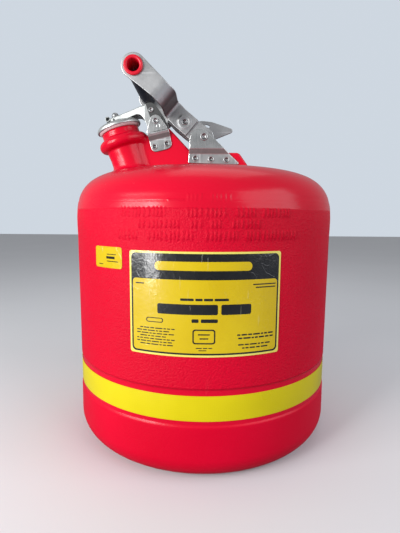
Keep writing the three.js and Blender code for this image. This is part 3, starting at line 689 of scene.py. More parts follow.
def stitch(vertices, first, second):
    """Triangles between two rings of vertex indices, both running once round the z axis."""
    def around(i):
        return math.atan2(vertices[i][1], vertices[i][0])

    first, second = sorted(first, key=around), sorted(second, key=around)
    first_angles, second_angles = ([around(i) for i in ring] + [around(ring[0]) + 2 * math.pi]
                                   for ring in (first, second))
    triangles, i, j = [], 0, 0
    while i < len(first) or j < len(second):
        if j >= len(second) or (i < len(first) and first_angles[i + 1] <= second_angles[j + 1]):
            triangles.append((first[i], first[(i + 1) % len(first)], second[j % len(second)]))
            i += 1
        else:
            triangles.append((first[i % len(first)], second[(j + 1) % len(second)], second[j]))
            j += 1
    return triangles


def relief_rows():
    """Upper wall from the cut down, top first: (z, radius or one radius per column)."""
    # the columns start at -180 degrees from +X; bearings are from -Y towards +X
    columns = np.arange(RELIEF_COUNT)
    bearing = (columns / RELIEF_COUNT * 360.0 - 180.0 + 90.0 + 180.0) % 360.0 - 180.0
    ribs, column = np.zeros(RELIEF_COUNT, bool), 0
    while column < RELIEF_COUNT - 8:
        ribs[column:column + 2] = True
        column += RIB_STEPS[(column * 7 // 3) % 10] if RELIEF_COUNT == 1080 else 3

    plain = [z for z in [*np.arange(284.2, 266.4, -1.3), *np.arange(262.0, 232.0, -2.0)]
             if all(abs(z - row[0]) > row[1] / 2 + 1.0 for row in RIB_ROWS)]
    radii = [dome_radius(z) - 0.45 * smoothstep(z, DOME_BASE, 232.0) for z in plain]

    def radius_at(z):
        return float(np.interp(z, plain[::-1], radii[::-1]))

    rows = list(zip(plain, radii))
    for centre, height, relief, spans in RIB_ROWS:
        raised = np.zeros(RELIEF_COUNT)
        for start, end in spans:
            raised[(bearing >= start) & (bearing <= end) & ribs] = relief
        half = height / 2
        for rise, offset in ((half + 0.45, 0.0), (half, raised), (0.0, raised), (-half, raised),
                             (-half - 0.45, 0.0)):
            rows.append((centre + rise, radius_at(centre + rise) + offset))
    # the level line shares the foot of the last row of ribs
    line = np.where((bearing > -12.3) & (bearing < -6.5), 0.4, 0.0)
    foot_z, foot_radii = rows[-2]
    rows[-2] = (foot_z, np.maximum(foot_radii, radius_at(foot_z) + line))
    rows[-1] = (rows[-1][0], dome_radius(rows[-1][0]))
    rows += [(272.35, dome_radius(272.35)), (272.05, dome_radius(272.05) + line)]
    return sorted(rows, key=lambda row: -row[0])


def inner_rows():
    """Inside of the hollow from the cut down: (z, radius)."""
    rows = [(float(z), dome_radius(z, TANK_R - WALL, DOME_H - WALL))
            for z in (284.0, *np.arange(276, 250, -8))]
    rows += [(240, 148.0), (200, 147.9), (150, 147.7), (100, 147.5), (90, 147.0), (60, 147.0),
             (50, 148.0), (30, 148.1)]
    rows += [(28 - 24 * math.sin(angle), 123.4 + 24.7 * math.cos(angle))
             for angle in (i / 10 * math.pi / 2 for i in range(1, 11))]
    return rows + [(4.0, 100.0), (FLOOR_Z, 87.0), (FLOOR_Z, 40.0)]


def tank():
    cell = 0.95
    points, quads = field_mesh(tank_field, (-149, -149, CUT_Z - 3 * cell), (149, 149, 371), cell)
    vertices, quads, triangles, edge = clip_below(points, quads, CUT_Z)
    outer_edge = [i for i in edge if math.hypot(*vertices[i][:2]) > CUT_MID_R]
    inner_edge = [i for i in edge if math.hypot(*vertices[i][:2]) <= CUT_MID_R]

    def skin(previous, rows, count, inner=False):
        """Rings of vertices hung from the ring previous; returns the last ring."""
        for index, (z, radius) in enumerate(rows):
            ring = list(range(len(vertices), len(vertices) + count))
            for k, r in enumerate(np.broadcast_to(radius, count)):
                angle = 2 * math.pi * k / count - math.pi
                vertices.append((r * math.cos(angle), r * math.sin(angle), z))
            if index == 0:
                joint = stitch(vertices, previous, ring)
                triangles.extend([(a, c, b) for a, b, c in joint] if inner else joint)
            else:
                for k in range(count):
                    j = (k + 1) % count
                    quads.append((previous[k], previous[j], ring[j], ring[k]) if inner
                                 else (previous[k], ring[k], ring[j], previous[j]))
            previous = ring
        return previous

    def close(ring, z, inner=False):
        centre = len(vertices)
        vertices.append((0, 0, z))
        for k, start in enumerate(ring):
            end = ring[(k + 1) % len(ring)]
            triangles.append((start, end, centre) if inner else (start, centre, end))

    ring = skin(outer_edge, relief_rows(), RELIEF_COUNT)
    close(skin(ring, OUTER_ROWS, OUTER_COUNT), BASE_Z)
    close(skin(inner_edge, inner_rows(), INNER_COUNT, inner=True), FLOOR_Z, inner=True)

    parts = np.array(vertices), np.array(quads, np.int32), np.array(triangles, np.int32)
    ob = build("can_body_moulding", parts, ["tank_red"])
    bm = bmesh.new()
    bm.from_mesh(ob.data)
    bmesh.ops.recalc_face_normals(bm, faces=bm.faces)
    bm.to_mesh(ob.data)
    bm.free()
    # set the smooth shading again after the trip through BMesh
    ob.data.polygons.foreach_set("use_smooth", np.ones(len(ob.data.polygons), bool))
    declare(ob, "can", "can_body")


tank()


# ------------------------------------------------------------------ tape band and labels
def tape():
    vertices, quads, triangles = lathe(rectangle(151.12, 65.6, 151.50, 90.7, 0.16, 4), 360,
                                       closed=True)
    # the lapped ends stand out by 0.22 on the +Y side; angles in degrees from +X
    angle = np.degrees(np.arctan2(vertices[:, 1], vertices[:, 0])) % 360
    lap = smoothstep(angle, 96.0, 96.8) * (1 - smoothstep(angle, 104.0, 104.8))
    vertices[:, :2] *= (1 + 0.22 * lap / np.hypot(vertices[:, 0], vertices[:, 1]))[:, None]
    piece("reflective_tape", (vertices, quads, triangles), "band_yellow", "can",
          "reflective_band")


tape()

# label places: start and end in degrees from -Y towards +X, foot z, top z
FRONT_LABEL = (-26.8, 28.5, 128.9, 226.2)
SIDE_LABEL = (-44.9, -30.3, 207.2, 228.0)
FILM_T = 0.30
FILM, BLACK, YELLOW = 0, 1, 2        # material indices on a label


def label_size(place):
    start, end, foot, top = place
    return FILM_R * math.radians(end - start), top - foot


def bar_outline(mid_x, mid_y, width, height, radius):
    return rectangle(mid_x - width / 2, mid_y - height / 2, mid_x + width / 2,
                     mid_y + height / 2, radius, 3)


def subdivide(points, spacing=3.0):
    out = []
    for start, end in zip(points, points[1:] + points[:1]):
        count = max(1, int(math.dist(start, end) / spacing))
        out += [(start[0] + (end[0] - start[0]) * i / count,
                 start[1] + (end[1] - start[1]) * i / count) for i in range(count)]
    return out


def label(name, place, corner, regions, node, materials):
    """Printed film wrapped on the wall.

    regions: (outline from the lower left corner, material index), later ones on top.
    """
    width, height = label_size(place)
    outline = rectangle(0, 0, width, height, corner, 6)
    points, edges = [], []
    for loop in [outline] + [region for region, _ in regions]:
        loop = subdivide(loop)
        first = len(points)
        points.extend(Vector(point) for point in loop)
        edges.extend((first + i, first + (i + 1) % len(loop)) for i in range(len(loop)))
    for x in np.arange(2.0, width - 1.0, 3.0):
        for y in np.arange(2.0, height - 1.0, 6.0):
            points.append(Vector((float(x), float(y))))
    flat, _, faces, *_ = delaunay_2d_cdt(points, edges, [], 0, 1e-4)
    flat = np.array([(point[0], point[1]) for point in flat])
    faces = np.array([face for face in faces if len(face) == 3], np.int32)
    middles = flat[faces].mean(1)
    keep = to_outline(middles[:, 0], middles[:, 1], outline) < 1e-6
    faces, middles = faces[keep], middles[keep]
    colours = np.zeros(len(faces), np.int32)
    for region, colour in regions:
        colours[to_outline(middles[:, 0], middles[:, 1], region) < 0] = colour
    used = np.unique(faces)
    renumber = -np.ones(len(flat), np.int64)
    renumber[used] = np.arange(len(used))
    flat, faces = flat[used], renumber[faces]
    count = len(flat)

    def wrap(radius):
        angle = math.radians(place[0]) + flat[:, 0] / FILM_R
        return np.stack([radius * np.sin(angle), -radius * np.cos(angle),
                         place[2] + flat[:, 1]], 1)

    # quads close the rim between the outer face and the back
    sides = [(int(face[i]), int(face[(i + 1) % 3])) for face in faces for i in range(3)]
    known = set(sides)
    rim = np.array([(b, a, a + count, b + count) for a, b in sides if (b, a) not in known],
                   np.int32)
    vertices = np.concatenate([wrap(FILM_R + FILM_T), wrap(FILM_R)])
    triangles = np.concatenate([faces, faces[:, ::-1] + count])
    index = np.concatenate([np.zeros(len(rim)), colours, np.zeros(len(faces))]).astype(np.int32)
    ob = build(name, (vertices, *outward(vertices, rim, triangles)), materials, smooth=False,
               material_index=index)
    declare(ob, "can", node)


def front_label():
    width, height = label_size(FRONT_LABEL)
    regions = [(rectangle(1.9, 1.9, width - 1.9, height - 1.9, 4.6), BLACK),
               (rectangle(3.6, 3.6, width - 3.6, 71.8, 3.4), YELLOW)]

    def bar(mid_x, mid_y, length, tall, colour=BLACK, radius=None):
        radius = min(tall, length) * 0.3 if radius is None else radius
        regions.append((bar_outline(mid_x, mid_y, length, tall, radius), colour))

    bar(71.5, 84.2, 90, 8.2, YELLOW, 4.0)
    # rows of bars: y, height, corner radius, spans in x
    for y, tall, radius, spans in (
            (53.8, 2.3, None, ((50.6, 63.0), (64.4, 71.0), (72.2, 80.5), (81.8, 94.9))),
            (44.6, 9.6, 1.6, ((28.9, 85.0), (88.0, 116.4))),
            (34.2, 3.4, None, ((61.0, 67.5), (69.5, 85.0)))):
        for start, end in spans:
            bar((start + end) / 2, y, end - start, tall, BLACK, radius)
    # single bars and frames: middle x, middle y, length, height, colour, corner radius
    for row in ((26, 33.4, 17, 4.6, BLACK, 2.2), (26, 33.4, 15, 3.0, YELLOW, 1.4),
                (72.4, 19.4, 21, 14, BLACK, 2.5), (72.4, 19.4, 18.4, 11.4, YELLOW, 1.7),
                (72.4, 21.4, 11, 1.2), (72.4, 17.6, 8, 1.2), (11, 67.2, 9, 1.1),
                (width - 17.0, 67.2, 24, 1.1), (width - 15.8, 64.4, 21, 1.1)):
        bar(*row)

    def words(start, end, y, tall, first):
        """A line of short bars; first picks where the run of lengths begins."""
        x, i = start, first
        while x < end - 2:
            length = min((3.2, 5.6, 4.1, 7.3, 2.4)[i % 5], end - x)
            bar(x + length / 2, y, length, tall)
            x += length + 0.9
            i += 1

    for i in range(7):
        words(7.5 if i % 3 else 11.0, (45.5, 43.0, 45.0, 40.0)[i % 4], 25.6 - i * 2.6, 1.0, i)
    for row in ((65.0, 80.0, 8.6, 0.9, 1), (67.5, 77.0, 6.4, 0.8, 3),
                (width - 43.5, width - 6.5, 20.4, 1.5, 0),
                (width - 42.5, width - 6.5, 17.2, 1.5, 2),
                (width - 42.5, width - 9.5, 11.0, 1.3, 1),
                (width - 38.5, width - 11.5, 7.8, 1.3, 4)):
        words(*row)
    label("front_label_film", FRONT_LABEL, 2.4, regions, "front_label",
          ["label_pale", "label_black", "label_yellow"])


def side_label():
    # middle x, middle y, length, height
    bars = ((25, 13.4, 13, 0.8), (23.5, 10.2, 12, 2.4), (26, 6.6, 16, 0.8), (9, 3.4, 7, 0.7))
    label("side_label_film", SIDE_LABEL, 2.6, [(bar_outline(*bar, 0.25), BLACK) for bar in bars],
          "side_label", ["label_yellow", "label_black"])


front_label()
side_label()


# ------------------------------------------------------------------ sheet metal
BRACKET_CELL = 0.5
ARM_CELL = 0.6
LEVER_CELL = 0.38


def sheet(node, points, quads, frame, side, material, body):
    """A sheet meshed in a frame's (first, second, outward), put on one side of the can."""
    vertices = frame.place(points, side)
    piece(f"{node}_sheet", (vertices, *outward(vertices, quads)), material, body, node)


def bracket_pair(node, field, low, high, cell, frame):
    points, quads = field_mesh(field, low, high, cell)
    for end, side in (("near", -1), ("far", 1)):
        sheet(f"{node}_{end}", points, quads, frame, side, "bracket_steel", "can")


# rear bracket outline, (x, z), and its section, (z, outward y)
REAR_OUTLINE = fillet(
    [(-19.1, 321.9), (-18.3, 333), (-17.5, 340), (-17.3, 349.5), (-16.6, 353.2), (-14.5, 357.2),
     (-10.5, 360.2), (-5.5, 361.4), (-1, 360.9), (2.5, 359.4), (5.4, 357.0), (9.2, 353.2),
     (44.6, 320.1)], [1.2] + [4] * 11 + [1.6])
REAR_SECTION = fillet([(300, LOW_Y + REAR_T / 2), (332.9, LOW_Y + REAR_T / 2),
                       (338.9, EAR_Y + REAR_T / 2), (385, EAR_Y + REAR_T / 2)], 2.0, False, 8)


def rear_bracket(x, z, out):
    solid = smooth_max(to_path(z, out, REAR_SECTION) - REAR_T / 2,
                       to_outline(x, z, REAR_OUTLINE), 0.35)
    for place in REAR_RIVETS:
        solid = smooth_max(solid, hole(x, z, place, RIVET_HOLE), 0.2)
    return smooth_max(solid, hole(x, z, REAR_PIVOT, PIVOT_HOLE), 0.25)


bracket_pair("rear_bracket", rear_bracket, (-21, 319, 9), (47, 364, 16.5), BRACKET_CELL, WORLD)

# front bracket outline in FRONT, about the lever's pivot, and its section, (second, outward y)
FRONT_OUTLINE = fillet(
    [(-13.3, -28.5), (-12.3, -31.8), (-10.2, -33.9), (-7.6, -34.6), (5.4, -34.6), (9.0, -33.8),
     (11.4, -31.6), (12.5, -28.5), (12.8, -16), (11.6, -9.8), (6.6, 3.1), (4.6, 5.6), (1.6, 7.1),
     (-1.6, 7.1), (-4.6, 5.6), (-6.7, 3.0), (-13.3, -9.0), (-13.2, -16)],
    [2] * 8 + [2.5, 2.5] + [3] * 6 + [2.0, 2.0])
FRONT_SECTION = fillet([(-50, LOW_Y + FRONT_T / 2), (-20.6, LOW_Y + FRONT_T / 2),
                        (-15.1, EAR_Y + FRONT_T / 2), (25, EAR_Y + FRONT_T / 2)], 2.6, False, 8)


def front_bracket(p, q, out):
    outline = to_outline(p, q, FRONT_OUTLINE)
    solid = smooth_max(to_path(q, out, FRONT_SECTION) - FRONT_T / 2, outline, 0.3)
    # rounded ridge on the outer face, along the bend
    ridge = smooth_max(np.hypot((q + 13.2) * 0.8, out - 14.1) - 1.25, outline, 0.3)
    solid = smooth_min(solid, smooth_max(ridge, 13.95 - out, 0.1), 0.35)
    for place in FRONT_RIVETS:
        solid = smooth_max(solid, hole(p, q, place, RIVET_HOLE), 0.2)
    solid = smooth_max(solid, hole(p, q, (0, 0), SMALL_HOLE), 0.2)
    # shallow stamped circle under the pivot
    circle = np.sqrt((np.hypot(p - 0.9, q + 6.3) - 2.0) ** 2 + (out - 14.95) ** 2)
    return smooth_max(solid, 0.42 - circle, 0.15)


bracket_pair("front_bracket", front_bracket, (-15, -37, 9), (15, 9.5, 16.2), BRACKET_CELL * 0.9,
             FRONT)

# handle arm in ARM: its outline runs round the hub, the lower edge, the grip end and back
ARM_OUTLINE = fillet(
    arc((0, -0.6), 12, 100, 13.5, 13)
    + [(12.6, -13.6), (35, -14.2), (51.8, -12.4), (64.2, -11.4), (80, -12.2)]
    + arc((GRIP_ON_ARM[0], -0.3), 13.5, -88, 14.6, 13)
    + [(80, 11.6), (62.4, 10.3), (51.3, 10.6), (36.2, 9.2), (19.3, 9.6)], 6.0)
# inner face of the arm as (along, outward y), moved out by half a thickness
ARM_SECTION = fillet(offset_path(
    [(-30, ARM_HUB_Y), (ARM_JOG - 1.2, ARM_HUB_Y), (ARM_JOG + 1.6, ARM_LOW_Y),
     (ARM_CRANK - 5.0, ARM_LOW_Y), (ARM_CRANK - 2.0, ARM_LOW_Y + 1.1),
     (ARM_CRANK - 0.4, ARM_LOW_Y + 3.2), (ARM_CRANK, ARM_LOW_Y + 6.0),
     (ARM_CRANK, ARM_TOP_Y - 12), (ARM_CRANK + 0.6, ARM_TOP_Y - 8),
     (ARM_CRANK + 2.4, ARM_TOP_Y - 4.8), (ARM_CRANK + 5.8, ARM_TOP_Y - 2.2),
     (ARM_CRANK + 11, ARM_TOP_Y - 0.4), (ARM_CRANK + 15, ARM_TOP_Y), (130, ARM_TOP_Y)],
    ARM_T / 2), [0, 2.0, 2.0, 6, 6, 6, 6, 10, 10, 10, 12, 12, 12, 0], False, 8)
# tail of the far arm and the window in it, given as (x, z)
TAIL = fillet([ARM.from_xz(x, z) for x, z in (
    (-13.5, 374.8), (-2.9, 376.7), (9.4, 375.4), (21.9, 371.4), (34.8, 367.1), (36.2, 364.6),
    (34.4, 362.2), (19.9, 356.4), (9, 352), (-2, 350), (-12, 356))],
    [3, 6, 8, 4, 1.6, 1.6, 2.0, 4, 4, 4, 4])
WINDOW = fillet([ARM.from_xz(x, z) for x, z in (
    (1.4, 369.6), (6.4, 367.9), (6.9, 370.6), (2.2, 372.2))], 0.5, True, 3)
CROSS_ON_ARM = ARM.from_xz(*CROSS_RIVET)


def arm_field(tail):
    def field(along, across, out):
        # pressed relief: a ring round the cross rivet and a long bump beside it
        from_rivet = along - CROSS_ON_ARM[0]
        ring_r = np.hypot(from_rivet, across - CROSS_ON_ARM[1])
        relief = (0.45 * np.exp(-((ring_r - 6.4) / 1.9) ** 2)
                  + 0.40 * np.exp(-((from_rivet - 6.8) / 1.6) ** 2 - ((across + 3.0) / 5.0) ** 2))
        middle = np.where(np.abs(from_rivet) < 11,
                          np.abs(out - relief - (ARM_LOW_Y + ARM_T / 2)),
                          to_path(along, out, ARM_SECTION))
        solid = smooth_max(middle - ARM_T / 2, to_outline(along, across, ARM_OUTLINE), 0.45)
        if tail:
            plate = smooth_max(np.abs(out - (ARM_HUB_Y + ARM_T / 2)) - ARM_T / 2,
                               to_outline(along, across, TAIL), 0.45)
            solid = smooth_min(solid, plate, 0.4)
            solid = smooth_max(solid, -to_outline(along, across, WINDOW), 0.2)
        for place, radius, edge in ((GRIP_ON_ARM, 8.7, 0.25), ((0, 0), PIVOT_HOLE, 0.25),
                                    (CROSS_ON_ARM, SMALL_HOLE, 0.2)):
            solid = smooth_max(solid, hole(along, across, place, radius), edge)
        return solid
    return field


for end, side, has_tail, arm_low, arm_high in (
        ("near", -1, False, (-14.5, -17, 9.5), (116, 16, 62)),
        ("far", 1, True, (-28, -17, 9.5), (116, 40, 62))):
    arm_points, arm_quads = field_mesh(arm_field(has_tail), arm_low, arm_high, ARM_CELL)
    sheet(f"handle_arm_{end}", arm_points, arm_quads, ARM, side, "arm_steel", "handle")

# ------------------------------------------------------------------ closing lever
LEVER_T = 1.1
# cheek outline, (x, z)
LEVER_OUTLINE = fillet(
    [(-113.4, 370.9), (-103, 371.6), (-96.2, 373.4), (-88, 376.0), (-82, 378.3), (-79, 378.5),
     (-76, 377.4), (-73, 374.6), (-69.8, 368.3), (-67.9, 363.2), (-65.5, 360.8), (-60, 359.8),
     (-50, 360.6), (-44.6, 362.6), (-42.9, 365.6), (-49.3, 376.4), (-56.4, 386.6),
     (-59, 389.8), (-62.3, 391.6), (-66, 392.0), (-70.9, 390.4), (-74.5, 388.2),
     (-91.8, 382.0), (-106.9, 376.9), (-113.2, 374.8)],
    [1.2, 6, 8, 8, 4, 4, 4, 6, 6, 3, 3, 6, 4, 2.5, 2.5, 8, 4, 3, 3, 3, 3, 5, 8, 6, 1.2])
# mid-line of the top plate in NECK: a rolled eye, then the plate
EYE = arc((-9.3, 41.9), 2.65, 45, 20.3, 16)
PLATE = [(-4.4, 41.5), (14.5, 41.85), (24.5, 42.15), (34, 42.45), (38.5, 41.95)]
EYE_XZ = [NECK.to_xz(u, s) for u, s in EYE]
TOP_PATH = EYE_XZ + fillet(EYE_XZ[-1:] + [NECK.to_xz(u, s) for u, s in PLATE], 2.0, False, 5)[1:]
# everything above this outline, (x, z), is trimmed off
TRIM = fillet(
    [(-130, 300), (-130, 372), NECK.to_xz(-13.5, 45.6), NECK.to_xz(-6.2, 45.6),
     NECK.to_xz(-5.2, 42.2)] + [NECK.to_xz(u, s + LEVER_T / 2) for u, s in PLATE]
    + [(-69, 391.8), (-66, 396), (-20, 396), (-20, 300)], 0.8, True, 4)
# outer half width along x
WIDTH_X = [-130, -112, -100, -71, -60]
HALF_WIDTH = [6.9, 7.5, 8.3, 13.2, 13.2]


def lever_field(x, y, z):
    width, out = np.interp(x, WIDTH_X, HALF_WIDTH), np.abs(y)
    cheek = smooth_max(np.abs(out - (width - LEVER_T / 2)) - LEVER_T / 2,
                       to_outline(x, z, LEVER_OUTLINE), 0.3)
    plate = smooth_max(to_path(x, z, TOP_PATH) - LEVER_T / 2, out - width, 0.3)
    solid = smooth_min(cheek, plate, 0.7)
    solid = smooth_max(solid, smooth_max(to_outline(x, z, TRIM), out - width, 1.4), 0.15)
    for place, radius, edge in ((FRONT_PIVOT, SMALL_HOLE, 0.2), (LEVER_PIN, 2.1, 0.2),
                                (NECK.to_xz(-1.7, 38.8), 1.1, 0.15)):
        solid = smooth_max(solid, hole(x, z, place, radius), edge)
    # hole for the cap rivet, in the top plate only
    neck_x, neck_z = NECK.from_xz(x, z)
    bore = np.maximum(np.hypot(neck_x, y) - SMALL_HOLE, 36 - neck_z)
    return smooth_max(solid, -bore, 0.2)


lever_points, lever_quads = field_mesh(lever_field, (-121, -14.5, 357.5), (-40, 14.5, 394.5),
                                       LEVER_CELL)
piece("cap_lever_sheet", (lever_points, lever_quads, NO_TRIANGLES), "lever_steel", "lever",
      "cap_lever")


# ------------------------------------------------------------------ rivets and spacers
def tubular(centre, shank_r, head_r, seat_y, head_h, dimple_r, dimple_depth, count):
    """Semi-tubular rivet: rolled hollow end on the -Y side, low domed head on the +Y side."""
    seat = seat_y + 0.3
    tip = seat + head_h
    roll_mid, roll_r = (head_r + dimple_r) / 2, (head_r - dimple_r) / 2
    profile = [(0, -(tip - dimple_depth) + 0.25), (dimple_r * 0.6, -(tip - dimple_depth)),
               (dimple_r, -max(tip - dimple_depth * 0.55, seat + 0.12))]
    for i in range(9):
        angle = math.pi - i / 8 * math.pi
        profile.append((roll_mid + roll_r * math.cos(angle),
                        -(seat + head_h * 0.35) - (head_h * 0.65) * math.sin(angle)))
    # under the roll, along the shank, under the head: (radius, y from the seat)
    step = [(head_r, 0.15), (head_r - 0.15, 0), (shank_r + 0.2, 0), (shank_r, -0.2)]
    profile += [(r, -(seat + y)) for r, y in step] + [(r, seat + y) for r, y in step[::-1]]
    for i in range(8):
        angle = i / 8 * math.pi / 2
        profile.append((head_r * math.cos(angle) ** 0.8,
                        seat + 0.2 + (head_h - 0.2) * math.sin(angle)))
    profile.append((0, tip))
    return lathe_y(profile, centre, count)


# node, body, (x, z), then the arguments of tubular
RIVETS = [(f"rear_rivet_{i + 1}", "can", place, 2.45, 3.7, LOW_Y + REAR_T, 0.8, 2.4, 2.3, 64)
          for i, place in enumerate(REAR_RIVETS)]
RIVETS += [(f"front_rivet_{i + 1}", "can", place, 2.45, 3.5, LOW_Y + FRONT_T, 0.75, 2.3, 2.2, 64)
           for i, place in enumerate(FRONT_RIVETS_XZ)]
RIVETS += [
    ("rear_pivot_pin", "can", REAR_PIVOT, 3.2, 4.6, EAR_Y + REAR_T, 1.1, 3.2, 2.4, 80),
    ("front_pivot_pin", "can", FRONT_PIVOT, 2.4, 3.5, EAR_Y + FRONT_T, 1.1, 2.4, 1.7, 72),
    ("arm_cross_rivet", "handle", CROSS_RIVET, 2.4, 3.5, ARM_LOW_Y + ARM_T, 1.0, 2.5, 2.4, 64),
    ("lever_cross_pin", "lever", LEVER_PIN, 1.8, 2.9, 13.1, 0.9, 1.9, 1.3, 56),
]
for node, body, *shape in RIVETS:
    piece(f"{node}_turned", tubular(*shape), "fastener_steel", body, node)

# node, body, (x, z), bore radius, outer radius, half length
for node, body, place, bore, outer, half in (
        ("rear_pivot_spacer", "can", REAR_PIVOT, PIVOT_HOLE, 5.2, 10.8),
        ("arm_cross_spacer", "handle", CROSS_RIVET, SMALL_HOLE, 4.4, 13.4)):
    piece(f"{node}_tube", lathe_y(rectangle(bore, -half, outer, half, 0.35, 4), place, 72, True),
          "spacer_steel", body, node)


# ------------------------------------------------------------------ grip
def grip():
    # core tube with a rolled lip at each end: (radius, y) on the +Y half
    lip_in = ARM_TOP_Y + ARM_T + 0.3
    lip_out = lip_in + 2.6
    half = [(6.5, lip_out - 2.2), (6.7, lip_out - 1.0), (7.4, lip_out - 0.25), (8.3, lip_out),
            (9.5, lip_out - 0.15), (10.25, lip_out - 0.7), (10.5, lip_out - 1.4),
            (10.4, lip_in + 0.2), (10.1, lip_in), (8.6, lip_in), (8.4, lip_in - 0.2)]
    core = fillet(half + [(r, -y) for r, y in half[::-1]], 0.25, True, 3)
    piece("grip_core_moulding", lathe_y(core, GRIP, 96, True), "grip_red", "handle",
          "grip_core_tube")
    # sleeve between the arms: (radius, distance in from its end)
    sleeve_end = ARM_TOP_Y - 0.5
    rim = [(8.7, 0.4), (9.1, 0), (9.45, 0.3), (9.6, 0.9), (9.6, 6)]
    sleeve = ([(r, inset - sleeve_end) for r, inset in rim] + [(9.6, 0)]
              + [(r, sleeve_end - inset) for r, inset in rim[::-1]])
    piece("grip_sleeve_tube", lathe_y(sleeve, GRIP, 96, True), "grip_dark", "grip",
          "grip_sleeve")


grip()

# ------------------------------------------------------------------ cap; (radius, height) in NECK
CAP_DISC = fillet(
    [(2.7, 33.8), (13.6, 33.8), (20, 33.2), (23, 32.2), (24.9, 31.0), (25.7, 29.6),
     (25.9, 28.1), (26.3, 27.7), (26.85, 27.9), (27.1, 28.6), (26.9, 30.2), (26.0, 31.9),
     (24.2, 33.3), (21, 34.3), (17.5, 34.8), (14, 35.0), (2.7, 35.0)],
    [0.1, 3, 3, 3, 2, 2, 0.4, 0.4, 0.4, 1.2, 2.5, 3, 3, 4, 4, 3, 0.1], True, 5)
SEAL = fillet([(19.3, 25.5), (22.6, 25.5), (23.6, 25.9), (25.2, 27.4), (25.35, 29.4),
               (24.0, 31.2), (21, 32.5), (19.3, 32.7)], 0.8, True, 5)
RETAINER = fillet([(2.7, 33.4), (13.4, 33.4), (18.9, 32.7), (18.9, 31.8), (13.0, 32.5),
                   (2.7, 32.5)], [0.1, 2, 0.3, 0.3, 2, 0.1], True, 4)
CAP_RIVET = [
    (0, 30.4), (2.4, 30.4), (3.5, 30.7), (3.8, 31.2), (3.8, 31.8), (3.5, 32.1), (2.4, 32.15),
    (2.4, 35.35), (4.3, 35.4), (4.6, 35.7), (4.6, 40.3), (4.3, 40.6), (2.4, 40.65),
    (2.4, 42.45), (4.5, 42.5), (4.8, 42.8), (4.8, 43.3), (4.5, 43.6), (4.25, 43.8),
    (4.2, 44.6), (4.0, 45.9), (3.5, 46.9), (2.6, 47.8), (1.4, 48.4), (0, 48.6)]
piece("cap_disc_pressing", lathe_neck(CAP_DISC, 128, True), "cap_steel", "cap", "cap_disc")
piece("cap_seal_ring", lathe_neck(SEAL, 128, True), "seal_pale", "cap", "cap_seal")
piece("seal_retainer_plate", lathe_neck(RETAINER, 96, True), "spacer_steel", "cap",
      "seal_retainer")
piece("cap_rivet_turned", lathe_neck(CAP_RIVET, 72), "fastener_steel", "lever", "cap_rivet")

# ------------------------------------------------------------------ flame arrester
ARRESTER_END = [(0, -93.8), (16.2, -93.8), (16.6, -93.4), (16.6, -92.7), (16.2, -92.3),
                (0, -92.3)]
piece("arrester_flange_ring", lathe_neck(rectangle(15.6, 23.7, 20.6, 24.9, 0.35, 4), 96, True),
      "arrester_steel", "can", "arrester_flange")
piece("arrester_end_plate", lathe_neck(ARRESTER_END, 72), "arrester_steel", "can",
      "arrester_end_disc")


def screen():
    """Woven wire tube: crossed wires as a fine relief."""
    count, rows = ((320, 300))
    outer_r, inner_r = 16.25, 15.95
    waves_round, pitch, relief = 80, 1.5, 0.16
    heights = np.linspace(-92.0, 23.4, rows)
    profile = [(outer_r, z) for z in heights] + [(inner_r, z) for z in heights[::-1]]
    vertices, quads, triangles = lathe_neck(profile, count, True)
    origin, axis, ref = np.array(NECK_ORIGIN), np.array(NECK_AXIS), np.array(NECK_REF)
    third = np.cross(axis, ref)
    offset = vertices - origin
    height, first, second = offset @ axis, offset @ ref, offset @ third
    angle = np.arctan2(second, first)
    weave = np.sin(angle * waves_round) * np.sin(height * 2 * math.pi / pitch)
    radius = np.hypot(first, second) + relief * weave
    vertices = (origin + np.outer(height, axis) + np.outer(radius * np.cos(angle), ref)
                + np.outer(radius * np.sin(angle), third))
    piece("arrester_screen_mesh", (vertices, quads, triangles), "screen_steel", "can",
          "arrester_screen")


screen()


